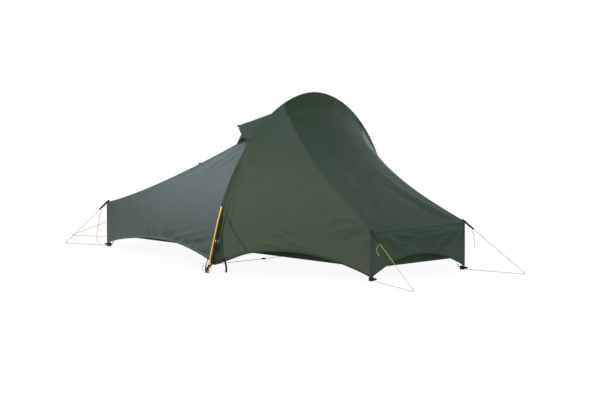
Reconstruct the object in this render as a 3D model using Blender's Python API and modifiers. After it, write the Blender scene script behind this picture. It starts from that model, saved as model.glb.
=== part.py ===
"""One-pole backpacking tent, pitched: fly, inner tent, hoop pole, corner struts and guylines.

Frame: metres, +Z up. X runs along the sleeper, head end at +X. The door side is -Y.
The origin is on the ground under the middle of the tent.
"""

from math import asin, atan2, cos, exp, pi, sin, sqrt

import bmesh
import bpy
from mathutils import Matrix, Vector

# Plan and height of the pitched tent
END_SPACING = 2.38
FOOT_END_WIDTH = 0.57
HEAD_END_WIDTH = 0.78
STRUT_TOP = 0.277
POLE_X = 0.264
POLE_SPAN = 1.494
POLE_HEIGHT = 1.0
POLE_EXPONENT = 1.9
POLE_LEAN = 0.078
STRAIGHT_LEG = 0.25

# Fly cloth, its hems and its seams
FABRIC = 0.001
GAP = 0.0003
HEM_AT_POLE_LEFT = 0.07
HEM_AT_POLE_RIGHT = 0.055
LEFT_HEM_RISE = 0.085
RIGHT_HEM_RISE = 0.105
FOOT_END_HEM_RISE = 0.10
HEAD_END_HEM_RISE = 0.13
WALL_BOW = 0.012
DOOR_HEM_DIP = 0.016
DIP_START = 0.03
DIP_END = 0.25
DIP_FADE = 0.17
ROOF_EDGE_SAG = 0.006
ROOF_DROOP = 0.07
DROOP_PLACE = 0.25
DROOP_RISE = 0.7
DROOP_WIDTH = 0.6
FOLD_HEIGHT = 0.008

# Where the seams leave the hoop, as angles round it from the door side, and how they run
LEFT_SEAM_ANGLE = 0.93
LEFT_SEAM_POWER = 1.165
LEFT_SEAM_BOW = 0.016
DOOR_SEAM_ANGLE = 1.23
DOOR_SEAM_POWER = 0.88
DOOR_SEAM_BOW = 0.085
FAR_SEAM_ANGLE = 2.20
FAR_SEAM_POWER = 0.957
FAR_SEAM_BOW = 0.15

# Panel grids: along the tent, up a wall and across a roof
ALONG_COUNT = 12
UP_COUNT = 7
ACROSS_COUNT = 10

# Vent, its hood and the stiffener in the brim
VENT_FIRST_ANGLE = 0.845
VENT_LAST_ANGLE = 1.095
VENT_DEPTH = 0.055
VENT_DROP = 0.35
VENT_MARGIN = 0.30
VENT_CLEARANCE = 0.013
HOOD_REACH = 0.185
HOOD_TIP_ANGLE = 0.97
HOOD_CROWN = 0.012
HOOD_TIP_RISE = 0.001
HOOD_TIP_WIDTH = 0.04
STIFFENER_DIAMETER = 0.005
STIFFENER_LENGTH = 0.032

# Hoop pole
POLE_DIAMETER = 0.009
POLE_WALL = 0.0008
POLE_SECTIONS = 4
POLE_SIDES = 10
SPIGOT_LENGTH = 0.04
SPIGOT_CLEARANCE = 0.0003
SHOCK_CORD_DIAMETER = 0.0025
SHOCK_CORD_CLEARANCE = 0.0004
SLEEVE_BORE_CLEARANCE = 0.0012
SLEEVE_WALL = 0.001
SLEEVE_TO_CLOTH = 0.0014
SLEEVE_START_HEIGHT = 0.375
SLEEVE_STEPS = 26
SECTION_STEPS = 9
TIP_LENGTH = 0.021
TIP_DIAMETER = 0.006
POLE_TO_FOOT = 0.001
FOOT_BURIED = 0.003

# Corner struts, their caps and feet
STRUT_DIAMETER = 0.005
STRUT_INSET = 0.009
FOOT_SIZE = 0.022
FOOT_HEIGHT = 0.022
FOOT_FLOOR = 0.006
STRUT_HEAD_HEIGHT = 0.012
STRUT_HEAD_DIAMETER = 0.0085
STRUT_HEAD_CHAMFER = 0.001
BORE_CLEARANCE = 0.0004

# Feet of the hoop pole
POLE_FOOT_DIAMETER = 0.018
POLE_FOOT_HEIGHT = 0.03
LOOP_REACH = 0.036
LOOP_CORD = 0.0026
LOOP_SWELL = 0.6
LOOP_STEPS = 18

# Inner tent
TUB_MARGIN = 0.035
TUB_SEAM_HEIGHT = 0.068
TUB_SAG = 0.008
TUB_WALL_TOP = 0.15
TUB_LEAN = 0.006
INNER_HEIGHT = 0.93
INNER_HALF_WIDTH = 0.33
INNER_EXPONENT = 2.3
INNER_END_HEIGHT = 0.235
INNER_GAP = 0.0006
TUB_LONG_COUNT = 10
TUB_CROSS_COUNT = 6
INNER_LONG_COUNT = 6
INNER_CROSS_COUNT = 12
INNER_SIDE_SHARE = 0.17
INNER_ROOF_POWER = 1.12
INNER_LEFT_POWER = 1.6

# Webbing, buckles and adjusters
WEBBING_WIDTH = 0.012
WEBBING_THICKNESS = 0.0014
BUCKLE_SIZE = Vector((0.022, 0.018, 0.004))
BUCKLE_BAR = 0.003
BUCKLE_SLOT_PLACE = 0.005
BUCKLE_TO_FOOT = 0.001
BUCKLE_HEIGHT = 0.012
ADJUSTER_SIZE = Vector((0.016, 0.020, 0.008))
WEBBING_AT_FOOT = 0.008
WEBBING_TO_FOOT = 0.0012
WEBBING_REACH = 0.030
WEBBING_RISE = 0.02
WEBBING_TO_CLOTH = 0.0021
CROSS_STRAP_HEIGHT = 0.045
CROSS_STRAP_WIDTH = 0.006
STRAP_TO_POLE = 0.0012
ADJUSTER_PLACE = 0.283
HEM_TAIL_LENGTH = 0.065
HEM_TAIL_REACH = 0.094
HEM_TAIL_SEWN = 0.012
HEM_TAIL_SWING = 0.010
DOOR_STRAP_REACH = 0.016
DOOR_STRAP_BOTTOM = 0.075
DOOR_STRAP_TOP = 0.25
STRAP_TO_DOOR = 0.0015
RING_DIAMETER = 0.016
RING_WIRE = 0.0026
RING_STANDOFF = 0.0042
KEEPER_SIZE = Vector((0.005, 0.004, 0.0042))
RING_HEIGHT = 0.19
TOGGLE_LENGTH = 0.018
TOGGLE_DIAMETER = 0.006
TOGGLE_CLEARANCE = 0.0006
TOGGLE_PLACE = 0.36

# Door zip
ZIP_BOTTOM = 0.12
ZIP_MIDDLE = 0.40
ZIP_TOP = 0.55
ZIP_REACH = 0.034
ZIP_TO_CLOTH = 0.0025
ZIP_WIDTH = 0.009
ZIP_THICKNESS = 0.0012
SLIDER_SIZE = Vector((0.010, 0.006, 0.015))
PULL_SIZE = Vector((0.007, 0.0016, 0.026))
SLIDER_HEIGHT = 0.15
SLIDER_GAP = 0.0006
PULL_GAP = 0.0006
ZIP_STEPS = 14

# Guylines, their tabs, locks and pegs
GUYLINE_DIAMETER = 0.0028
LOCK_SIZE = Vector((0.020, 0.012, 0.006))
TAB_WIDTH = 0.011
PEG_DIAMETER = 0.004
PEG_HEIGHT = 0.020
PEG_HOOK = 0.022
PEG_LINE_HEIGHT = 0.009
LINE_AT_FOOT = 0.004
LOCK_SLOT = 0.009
LOCK_SLOT_PLACE = 0.0025
LINE_BEND = 1.9
PEG_BEND = 0.004
TAB_START = 0.009

CORNERS = {
    "left_near": (-1, -1),
    "right_near": (1, -1),
    "right_far": (1, 1),
    "left_far": (-1, 1),
}
PEG_PLACES = {
    "left_near": Vector((-1.467, -0.387, 0.0)),
    "right_near": Vector((1.660, -0.566, 0.0)),
    "right_far": Vector((1.590, 0.446, 0.0)),
    "left_far": Vector((-1.800, -0.060, 0.0)),
}
LOCK_DISTANCES = {
    "left_near": 0.062,
    "right_near": 0.112,
    "right_far": 0.062,
    "left_far": 0.062,
}
# Points of each hanging cord end, counted from the lower side of its lock
TAIL_ROUTES = {
    "left_near": (
        (0.000, 0.000, 0.000),
        (-0.004, -0.001, -0.014),
        (-0.012, -0.003, -0.036),
        (-0.019, -0.005, -0.068),
        (-0.024, -0.007, -0.104),
        (-0.030, -0.008, -0.140),
        (-0.036, -0.008, -0.174),
        (-0.036, -0.006, -0.198),
        (-0.026, -0.001, -0.2155),
        (-0.010, 0.006, -0.2210),
    ),
    "right_near": (
        (0.000, 0.000, 0.000),
        (-0.004, -0.002, -0.010),
        (-0.011, -0.005, -0.022),
        (-0.012, -0.006, -0.036),
        (-0.004, -0.005, -0.050),
        (0.004, -0.004, -0.066),
    ),
    "right_far": (
        (0.000, 0.000, 0.000),
        (0.006, 0.002, -0.010),
        (0.012, 0.004, -0.028),
        (0.013, 0.005, -0.052),
        (0.016, 0.006, -0.078),
        (0.019, 0.006, -0.104),
    ),
    "left_far": (
        (0.000, 0.000, 0.000),
        (-0.005, 0.001, -0.012),
        (-0.010, 0.003, -0.034),
        (-0.011, 0.004, -0.062),
        (-0.015, 0.005, -0.090),
        (-0.017, 0.005, -0.118),
    ),
}
SAMPLES_PER_STEP = 2
BORE_SIDES = 12
UP = Vector((0.0, 0.0, 1.0))


# Scene, materials and small helpers


def clear_scene():
    for item in list(bpy.data.objects):
        bpy.data.objects.remove(item, do_unlink=True)


def make_material(name, colour, roughness, metallic=0.0):
    material = bpy.data.materials.new(name)
    material.use_nodes = True
    shader = material.node_tree.nodes["Principled BSDF"]
    shader.inputs["Base Color"].default_value = (*colour, 1.0)
    shader.inputs["Roughness"].default_value = roughness
    shader.inputs["Metallic"].default_value = metallic
    material.diffuse_color = (*colour, 1.0)
    return material


def make_materials():
    return {
        "fly": make_material("fly_nylon", (0.055, 0.085, 0.058), 0.55),
        "wall": make_material("fly_nylon_light", (0.110, 0.145, 0.140), 0.50),
        "floor": make_material("tub_nylon", (0.014, 0.022, 0.014), 0.60),
        "mesh": make_material("inner_cloth", (0.060, 0.070, 0.064), 0.85),
        "webbing": make_material("black_webbing", (0.012, 0.012, 0.014), 0.80),
        "plastic": make_material("black_plastic", (0.010, 0.010, 0.011), 0.45),
        "pole": make_material("gold_anodised_tube", (0.700, 0.440, 0.050), 0.30, 0.9),
        "rod": make_material("grey_rod", (0.180, 0.180, 0.175), 0.45),
        "cord": make_material("pale_yellow_cord", (0.780, 0.700, 0.340), 0.75),
        "loop": make_material("orange_loop", (0.800, 0.380, 0.050), 0.70),
        "metal": make_material("bright_alloy", (0.620, 0.620, 0.600), 0.35, 1.0),
    }


def new_object(name, mesh, material):
    mesh.materials.append(material)
    item = bpy.data.objects.new(name, mesh)
    PARTS.objects.link(item)
    return item


def mesh_from(verts, faces, name):
    mesh = bpy.data.meshes.new(name)
    mesh.from_pydata([tuple(v) for v in verts], [], faces)
    mesh.update()
    return mesh


def lerp(a, b, share):
    return a + (b - a) * share


def smooth(value):
    value = min(max(value, 0.0), 1.0)
    return value * value * (3 - 2 * value)


def shade(item, angle=0.6):
    item.data.shade_smooth()
    item.data.set_sharp_from_angle(angle=angle)


# Curves that the cloth hangs on


def arch_angle(height, far=False):
    """Angle round the hoop at which it stands at a height."""
    angle = asin((height / POLE_HEIGHT) ** (POLE_EXPONENT / 2))
    return pi - angle if far else angle


def hoop_curve(angle, half_span=POLE_SPAN / 2, top=POLE_HEIGHT, power=POLE_EXPONENT):
    """Point on a leaning arch: angle 0 is the door side, pi the far side."""
    across = -cos(angle)
    y = half_span * (1 if across > 0 else -1) * abs(across) ** (2 / power)
    z = top * max(sin(angle), 0.0) ** (2 / power)
    return Vector((POLE_X + POLE_LEAN * z, y, z))


def leg_slope():
    """Spread of the pole's straight legs for each metre of height."""
    step = 0.002
    knee = hoop_curve(arch_angle(STRAIGHT_LEG))
    return (hoop_curve(arch_angle(STRAIGHT_LEG + step)).y - knee.y) / step


def arch_point(angle):
    """Point on the pole's line: the arch, with straight legs below its curve."""
    point = hoop_curve(angle)
    if point.z < STRAIGHT_LEG:
        knee = hoop_curve(arch_angle(STRAIGHT_LEG))
        spread = leg_slope() * (STRAIGHT_LEG - point.z) - knee.y
        point.y = spread if point.y > 0 else -spread
    return point


def leg_direction(far):
    """Way up a straight leg."""
    slope = leg_slope()
    return Vector((POLE_LEAN, -slope if far else slope, 1.0))


def arch_out(angle):
    """Outward direction in the hoop's own plane."""
    step = 0.002
    first = arch_point(max(angle - step, 0.0001))
    last = arch_point(min(angle + step, pi - 0.0001))
    along = (last - first).normalized()
    lean = Vector((1.0, 0.0, -POLE_LEAN)).normalized()
    return lean.cross(along).normalized()


def sleeve_radius():
    return POLE_DIAMETER / 2 + SLEEVE_BORE_CLEARANCE + SLEEVE_WALL


def cloth_inset():
    """Depth of the cloth's inner face below the middle of the pole."""
    return sleeve_radius() + SLEEVE_TO_CLOTH + FABRIC


def fabric_arch(angle, side):
    """Edge of the cloth under the pole sleeve, on the left (-1) or right (1) of the seam."""
    edge = arch_point(angle) - arch_out(angle) * cloth_inset()
    edge.x += side * GAP
    if side < 0 and VENT_FIRST_ANGLE < angle < VENT_LAST_ANGLE:
        share = (angle - VENT_FIRST_ANGLE) / (VENT_LAST_ANGLE - VENT_FIRST_ANGLE)
        edge += Vector((-1.0, 0.0, -VENT_DROP)) * (VENT_DEPTH * sin(pi * share) ** 2)
    return edge


def corner_plan(key):
    side_x, side_y = CORNERS[key]
    width = HEAD_END_WIDTH if side_x > 0 else FOOT_END_WIDTH
    return Vector((side_x * END_SPACING / 2, side_y * width / 2, 0.0))


def corner_line(key, share):
    """Upright edge of the cloth at a corner, from its hem to its top."""
    low = FOOT_HEIGHT + GAP * 2
    return corner_plan(key) + UP * lerp(low, STRUT_TOP, share)


def seam_curve(start, end, power, bow, share):
    """A seam from the hoop down to a corner: straight in plan but for its bow."""
    plan = (end - start).to_2d()
    normal = Vector((plan.y, -plan.x)).normalized()
    point = lerp(start, end, share)
    point.z = end.z + (start.z - end.z) * (1 - share) ** power
    offset = bow * 4 * share * (1 - share)
    return point + Vector((normal.x, normal.y, 0.0)) * offset


def hem_curve(start, end, rise, share):
    point = lerp(start, end, share)
    point.z += rise * 4 * share * (1 - share)
    return point


def coons(bottom, top, first, last, u, v):
    """Surface patch between four edge curves."""
    ruled_up = lerp(bottom(u), top(u), v)
    ruled_along = lerp(first(v), last(v), u)
    corners = lerp(lerp(bottom(0), bottom(1), u), lerp(top(0), top(1), u), v)
    return ruled_up + ruled_along - corners


def folds(u, v, centre_u, centre_v, count, phase):
    """Broad folds that fan out from a point of the panel and die away at its edges."""
    angle = atan2(v - centre_v, u - centre_u)
    fade = (16 * u * (1 - u) * v * (1 - v)) ** 1.5
    return sin(count * angle + phase) * fade


# Sheets, ribbons, tubes and blocks


def cloth_from_grid(name, rows, material, outward, thickness=FABRIC):
    """Closed cloth panel from a grid of points, thickened to its outer side."""
    across = len(rows[0])
    verts = [point for row in rows for point in row]
    faces = []
    for i in range(len(rows) - 1):
        for j in range(across - 1):
            a = i * across + j
            faces.append((a, a + 1, a + across + 1, a + across))
    middle = rows[len(rows) // 2]
    centre = middle[across // 2]
    normal = (middle[across // 2 + 1] - centre).cross(rows[len(rows) // 2 + 1][across // 2] - centre)
    if normal.dot(outward) < 0:
        faces = [tuple(reversed(face)) for face in faces]
    item = new_object(name, mesh_from(verts, faces, name), material)
    solid = item.modifiers.new("thickness", "SOLIDIFY")
    solid.thickness = thickness
    solid.offset = 1.0
    shade(item, 1.2)
    return item


def ribbon(name, points, width, across, material, thickness=WEBBING_THICKNESS, outward=UP):
    """Flat strap along a run of points; across gives its width's direction, once or for each."""
    sides = across if isinstance(across, list) else [across] * len(points)
    rows = []
    for point, side in zip(points, sides):
        half = side.normalized() * (width / 2)
        rows.append([point - half, point + half])
    verts = [point for row in rows for point in row]
    faces = [(2 * i, 2 * i + 1, 2 * i + 3, 2 * i + 2) for i in range(len(rows) - 1)]
    normal = (rows[0][1] - rows[0][0]).cross(rows[1][0] - rows[0][0])
    if normal.dot(outward) < 0:
        faces = [tuple(reversed(face)) for face in faces]
    item = new_object(name, mesh_from(verts, faces, name), material)
    solid = item.modifiers.new("thickness", "SOLIDIFY")
    solid.thickness = thickness
    solid.offset = 1.0
    return item


def tube_along(name, points, diameter, material, sides=2, closed=False):
    """Round cord or rod along a run of points."""
    curve = bpy.data.curves.new(name, "CURVE")
    curve.dimensions = "3D"
    curve.bevel_depth = diameter / 2
    curve.bevel_resolution = sides
    curve.use_fill_caps = not closed
    spline = curve.splines.new("POLY")
    spline.points.add(len(points) - 1)
    for slot, point in zip(spline.points, points):
        slot.co = (*point, 1.0)
    spline.use_cyclic_u = closed
    curve.materials.append(material)
    item = bpy.data.objects.new(name, curve)
    PARTS.objects.link(item)
    return item


def smooth_route(route, samples=SAMPLES_PER_STEP):
    """Points of a smooth curve through a route's own points."""
    points = []
    ends = [route[0] * 2 - route[1]] + list(route) + [route[-1] * 2 - route[-2]]
    for i in range(len(route) - 1):
        before, here, there, after = ends[i : i + 4]
        reach = (there - here).length
        lead = (here - before).length + reach
        trail = reach + (after - there).length
        leave = (there - before) * (reach / lead)
        arrive = (after - here) * (reach / trail)
        for k in range(samples):
            s = k / samples
            a = 2 * s**3 - 3 * s**2 + 1
            b = s**3 - 2 * s**2 + s
            c = 3 * s**2 - 2 * s**3
            d = s**3 - s**2
            points.append(here * a + leave * b + there * c + arrive * d)
    points.append(route[-1])
    return points


def frame_from(along, up=UP):
    """Rotation whose X axis runs along a direction and whose Z stays near up."""
    x_axis = along.normalized()
    y_axis = up.cross(x_axis).normalized()
    z_axis = x_axis.cross(y_axis)
    return Matrix((x_axis, y_axis, z_axis)).transposed()


def block(name, size, centre, turn, material, bevel=0.0):
    shape = bmesh.new()
    bmesh.ops.create_cube(shape, size=1.0)
    bmesh.ops.scale(shape, vec=size, verts=shape.verts)
    mesh = bpy.data.meshes.new(name)
    shape.to_mesh(mesh)
    shape.free()
    item = new_object(name, mesh, material)
    item.location = centre
    item.rotation_euler = turn.to_euler()
    if bevel:
        edge = item.modifiers.new("edges", "BEVEL")
        edge.width = bevel
        edge.segments = 2
    bpy.context.view_layer.update()
    return item


def rod(name, first, last, diameter, material, sides=16):
    """Straight round rod between two points."""
    shape = bmesh.new()
    length = (last - first).length
    bmesh.ops.create_cone(
        shape,
        cap_ends=True,
        segments=sides,
        radius1=diameter / 2,
        radius2=diameter / 2,
        depth=length,
    )
    mesh = bpy.data.meshes.new(name)
    shape.to_mesh(mesh)
    shape.free()
    item = new_object(name, mesh, material)
    item.location = (first + last) / 2
    item.rotation_euler = UP.rotation_difference(last - first).to_euler()
    shade(item)
    bpy.context.view_layer.update()
    return item


def weld(item, pieces):
    """Join sewn-on pieces into an item as one body."""
    for piece in pieces:
        PARTS.objects.unlink(piece)
        CUTTERS.objects.link(piece)
        piece.hide_render = True
        piece.display_type = "WIRE"
        modifier = item.modifiers.new("sewn", "BOOLEAN")
        modifier.operation = "UNION"
        modifier.solver = "EXACT"
        modifier.object = piece


def set_origin(item, place):
    """Move an object's own origin to a point and leave its shape where it is."""
    offset = item.matrix_world.inverted() @ place
    if item.type == "CURVE":
        for spline in item.data.splines:
            for point in spline.points:
                point.co = (*(point.co.to_3d() - offset), 1.0)
    else:
        item.data.transform(Matrix.Translation(-offset))
    item.location = place
    bpy.context.view_layer.update()


def cut(item, cutters):
    """Subtract each cutter and leave it in the cutters' collection."""
    for cutter in cutters:
        PARTS.objects.unlink(cutter)
        CUTTERS.objects.link(cutter)
        cutter.hide_render = True
        cutter.display_type = "WIRE"
        modifier = item.modifiers.new("cut", "BOOLEAN")
        modifier.operation = "DIFFERENCE"
        modifier.solver = "EXACT"
        modifier.object = cutter


# Fly


def near_seam(side, share):
    """Seam between a door-side wall and the roof, on the left (-1) or right (1)."""
    key = "right_near" if side > 0 else "left_near"
    angle = DOOR_SEAM_ANGLE if side > 0 else LEFT_SEAM_ANGLE
    power = DOOR_SEAM_POWER if side > 0 else LEFT_SEAM_POWER
    bow = DOOR_SEAM_BOW if side > 0 else LEFT_SEAM_BOW
    return seam_curve(fabric_arch(angle, side), corner_line(key, 1), power, bow, share)


def far_seam(side, share):
    key = "right_far" if side > 0 else "left_far"
    angle = FAR_SEAM_ANGLE if side > 0 else pi - LEFT_SEAM_ANGLE
    power = FAR_SEAM_POWER if side > 0 else LEFT_SEAM_POWER
    bow = FAR_SEAM_BOW if side > 0 else -LEFT_SEAM_BOW
    return seam_curve(fabric_arch(angle, side), corner_line(key, 1), power, bow, share)


def roof_end_edge(side, share):
    ends = ("right_near", "right_far") if side > 0 else ("left_near", "left_far")
    point = lerp(corner_line(ends[0], 1), corner_line(ends[1], 1), share)
    return point - UP * (ROOF_EDGE_SAG * 4 * share * (1 - share))


def wall_point(side, far, u, v):
    """Point on a fly wall: u runs from the hoop to the corner, v from the hem up."""
    key = ("right" if side > 0 else "left") + ("_far" if far else "_near")
    hem_height = HEM_AT_POLE_RIGHT if side > 0 else HEM_AT_POLE_LEFT
    rise = RIGHT_HEM_RISE if side > 0 else LEFT_HEM_RISE
    seam = far_seam if far else near_seam
    if far:
        top_angle = FAR_SEAM_ANGLE if side > 0 else pi - LEFT_SEAM_ANGLE
    else:
        top_angle = DOOR_SEAM_ANGLE if side > 0 else LEFT_SEAM_ANGLE
    low_angle = arch_angle(hem_height, far)
    point = coons(
        lambda s: hem_curve(fabric_arch(low_angle, side), corner_line(key, 0), rise, s),
        lambda s: seam(side, s),
        lambda s: fabric_arch(lerp(low_angle, top_angle, s), side),
        lambda s: corner_line(key, s),
        u,
        v,
    )
    inward = -1 if far else 1
    point.y += inward * WALL_BOW * 16 * u * (1 - u) * v * (1 - v)
    if side > 0:
        reach = smooth(u / DIP_START) * smooth((DIP_END - u) / DIP_FADE)
        point.z -= DOOR_HEM_DIP * reach * (1 - v) ** 3
    return point


def roof_point(side, u, v):
    """Point on a roof: u runs from the hoop to the end, v from the door side across."""
    droop = 0.0
    if side < 0:
        place = u / DROOP_PLACE
        droop = ROOF_DROOP * (place * exp(1 - place)) ** DROOP_RISE * (1 - u)
    near_angle = DOOR_SEAM_ANGLE if side > 0 else LEFT_SEAM_ANGLE
    far_angle = FAR_SEAM_ANGLE if side > 0 else pi - LEFT_SEAM_ANGLE
    point = coons(
        lambda s: near_seam(side, s),
        lambda s: far_seam(side, s),
        lambda s: fabric_arch(lerp(near_angle, far_angle, s), side),
        lambda s: roof_end_edge(side, s),
        u,
        v,
    )
    point.z -= droop * (4 * v * (1 - v)) ** DROOP_WIDTH
    return point


def end_point(side, u, v):
    """Point on an end panel: u runs from the door side across, v from the hem up."""
    ends = ("right_near", "right_far") if side > 0 else ("left_near", "left_far")
    rise = HEAD_END_HEM_RISE if side > 0 else FOOT_END_HEM_RISE
    return coons(
        lambda s: hem_curve(corner_line(ends[0], 0), corner_line(ends[1], 0), rise, s),
        lambda s: roof_end_edge(side, s),
        lambda s: corner_line(ends[0], s),
        lambda s: corner_line(ends[1], s),
        u,
        v,
    )


def wall_spot(side, far, u, v, lift):
    """Point over a wall's outer face, and the way out of the face there."""
    step = 0.01
    place = wall_point(side, far, u, v)
    along = wall_point(side, far, u + step, v) - place
    upward = wall_point(side, far, u, v + step) - place
    normal = along.cross(upward).normalized()
    if (normal.y > 0) != far:
        normal = -normal
    return place + normal * (FABRIC + lift), normal


def panel(name, surface, count_u, count_v, outward, material, fan):
    """Fly panel from its surface, drawn in from its seams by the cloth's clearance."""
    span_u = (surface(1, 0.5) - surface(0, 0.5)).length
    span_v = (surface(0.5, 1) - surface(0.5, 0)).length
    inset_u = GAP / span_u
    inset_v = GAP / span_v
    rows = []
    for i in range(count_u + 1):
        u = lerp(inset_u, 1 - inset_u, i / count_u)
        row = []
        for j in range(count_v + 1):
            v = lerp(inset_v, 1 - inset_v, j / count_v)
            lift = FOLD_HEIGHT * folds(u, v, *fan)
            row.append(surface(u, v) + outward * lift)
        rows.append(row)
    return cloth_from_grid(name, rows, material, outward)


def make_fly(materials):
    near = Vector((0.0, -1.0, 0.0))
    left_up = Vector((-0.35, 0.0, 0.94))
    right_up = Vector((0.5, 0.0, 0.87))
    left = Vector((-1.0, 0.0, 0.0))
    fly = materials["fly"]
    panel("fly_wall_near_left", lambda u, v: wall_point(-1, False, u, v),
          ALONG_COUNT, UP_COUNT, near, materials["wall"], (-0.1, -0.1, 6, 0.4))
    panel("fly_door_near", lambda u, v: wall_point(1, False, u, v),
          ALONG_COUNT, UP_COUNT, near, fly, (1.1, 0.9, 5, 1.1))
    panel("fly_wall_far_left", lambda u, v: wall_point(-1, True, u, v),
          ALONG_COUNT, UP_COUNT, -near, fly, (-0.1, -0.1, 6, 0.4))
    panel("fly_wall_far_right", lambda u, v: wall_point(1, True, u, v),
          ALONG_COUNT, UP_COUNT, -near, materials["wall"], (1.1, 0.9, 5, 0.2))
    panel("fly_roof_left", lambda u, v: roof_point(-1, u, v),
          ALONG_COUNT, ACROSS_COUNT, left_up, fly, (1.1, -0.1, 5, 0.3))
    panel("fly_roof_right", lambda u, v: roof_point(1, u, v),
          ALONG_COUNT, ACROSS_COUNT, right_up, fly, (1.1, 1.1, 5, 0.8))
    panel("fly_end_left", lambda u, v: end_point(-1, u, v),
          ACROSS_COUNT, UP_COUNT, left, fly, (1.1, 1.1, 5, 1.4))
    panel("fly_end_right", lambda u, v: end_point(1, u, v),
          ACROSS_COUNT, UP_COUNT, -left, fly, (1.1, 1.1, 5, 1.4))


# Vent


def hood_tip():
    return arch_point(HOOD_TIP_ANGLE) + Vector((-HOOD_REACH, 0.0, HOOD_TIP_RISE))


def hood_point(u, v):
    """Point on the vent's hood: u runs up the hoop, v from the hoop out to the tip."""
    angle = lerp(VENT_FIRST_ANGLE, VENT_LAST_ANGLE, u)
    base = arch_point(angle) + arch_out(angle) * 0.001
    base.x -= sleeve_radius() + GAP
    point = lerp(base, hood_tip(), v * (1 - HOOD_TIP_WIDTH))
    crown = HOOD_CROWN * 16 * u * (1 - u) * v * (1 - v)
    return point + arch_out(HOOD_TIP_ANGLE) * crown


def make_vent(materials):
    out = arch_out(HOOD_TIP_ANGLE)
    rows = [[hood_point(i / 8, j / 6) for j in range(7)] for i in range(9)]
    hood = cloth_from_grid("vent_hood", rows, materials["fly"], out)

    rows = []
    for i in range(9):
        share = lerp(VENT_MARGIN, 1 - VENT_MARGIN, i / 8)
        angle = lerp(VENT_FIRST_ANGLE, VENT_LAST_ANGLE, share)
        inner = fabric_arch(angle, -1)
        outer = arch_point(angle) - arch_out(angle) * cloth_inset()
        reach = (outer - inner).length
        low = lerp(inner, outer, VENT_CLEARANCE / reach)
        high = lerp(inner, outer, 1 - VENT_CLEARANCE / reach)
        rows.append([lerp(low, high, j / 3) for j in range(4)])
    cloth_from_grid("vent_mesh", rows, materials["mesh"], out)

    tip = hood_point(0.5, 1.0)
    along = (tip - hood_point(0.5, 0.7)).normalized()
    stiffener = rod("vent_stiffener", tip - along * STIFFENER_LENGTH,
                    tip + along * STIFFENER_DIAMETER, STIFFENER_DIAMETER,
                    materials["plastic"], BORE_SIDES)
    weld(hood, [stiffener])


# Hoop pole and its sleeve


def pole_angles(first, last, count):
    """Angles round the hoop at even steps of its length."""
    fine = 400
    angles = [lerp(first, last, i / fine) for i in range(fine + 1)]
    spots = [arch_point(angle) for angle in angles]
    run = [0.0]
    for i in range(fine):
        run.append(run[-1] + (spots[i + 1] - spots[i]).length)
    result = []
    step = 0
    for k in range(count + 1):
        target = run[-1] * k / count
        while step < fine - 1 and run[step + 1] < target:
            step += 1
        share = (target - run[step]) / (run[step + 1] - run[step])
        result.append(lerp(angles[step], angles[step + 1], share))
    return result


def ring_sweep(name, rings, material, sides=POLE_SIDES):
    """Open-ended tube through rings of (centre, tangent, outer radius, inner radius)."""
    verts = []
    lean = Vector((1.0, 0.0, -POLE_LEAN)).normalized()
    for centre, tangent, outer, inner in rings:
        out = lean.cross(tangent).normalized()
        for radius in (outer, inner):
            for k in range(sides):
                turn = 2 * pi * k / sides
                verts.append(centre + out * (radius * cos(turn)) + lean * (radius * sin(turn)))
    faces = []
    ring = 2 * sides
    for i in range(len(rings) - 1):
        for k in range(sides):
            n = (k + 1) % sides
            a = i * ring
            b = (i + 1) * ring
            faces.append((a + k, b + k, b + n, a + n))
            faces.append((a + sides + k, a + sides + n, b + sides + n, b + sides + k))
    last = (len(rings) - 1) * ring
    for k in range(sides):
        n = (k + 1) % sides
        faces.append((k, n, sides + n, sides + k))
        faces.append((last + k, last + sides + k, last + sides + n, last + n))
    shape = bmesh.new()
    shape.from_mesh(mesh_from(verts, faces, name))
    bmesh.ops.remove_doubles(shape, verts=shape.verts, dist=0.00001)
    bmesh.ops.recalc_face_normals(shape, faces=shape.faces)
    mesh = bpy.data.meshes.new(name)
    shape.to_mesh(mesh)
    shape.free()
    item = new_object(name, mesh, material)
    shade(item)
    return item


def path_tangents(points):
    tangents = []
    for i in range(len(points)):
        before = points[max(i - 1, 0)]
        after = points[min(i + 1, len(points) - 1)]
        tangents.append((after - before).normalized())
    return tangents


def towards(start, end, distance):
    return start + (end - start).normalized() * distance


def pole_seat(far):
    """Where the pole's tube stands on its foot."""
    return arch_point(arch_angle(POLE_FOOT_HEIGHT + POLE_TO_FOOT, far))


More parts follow.
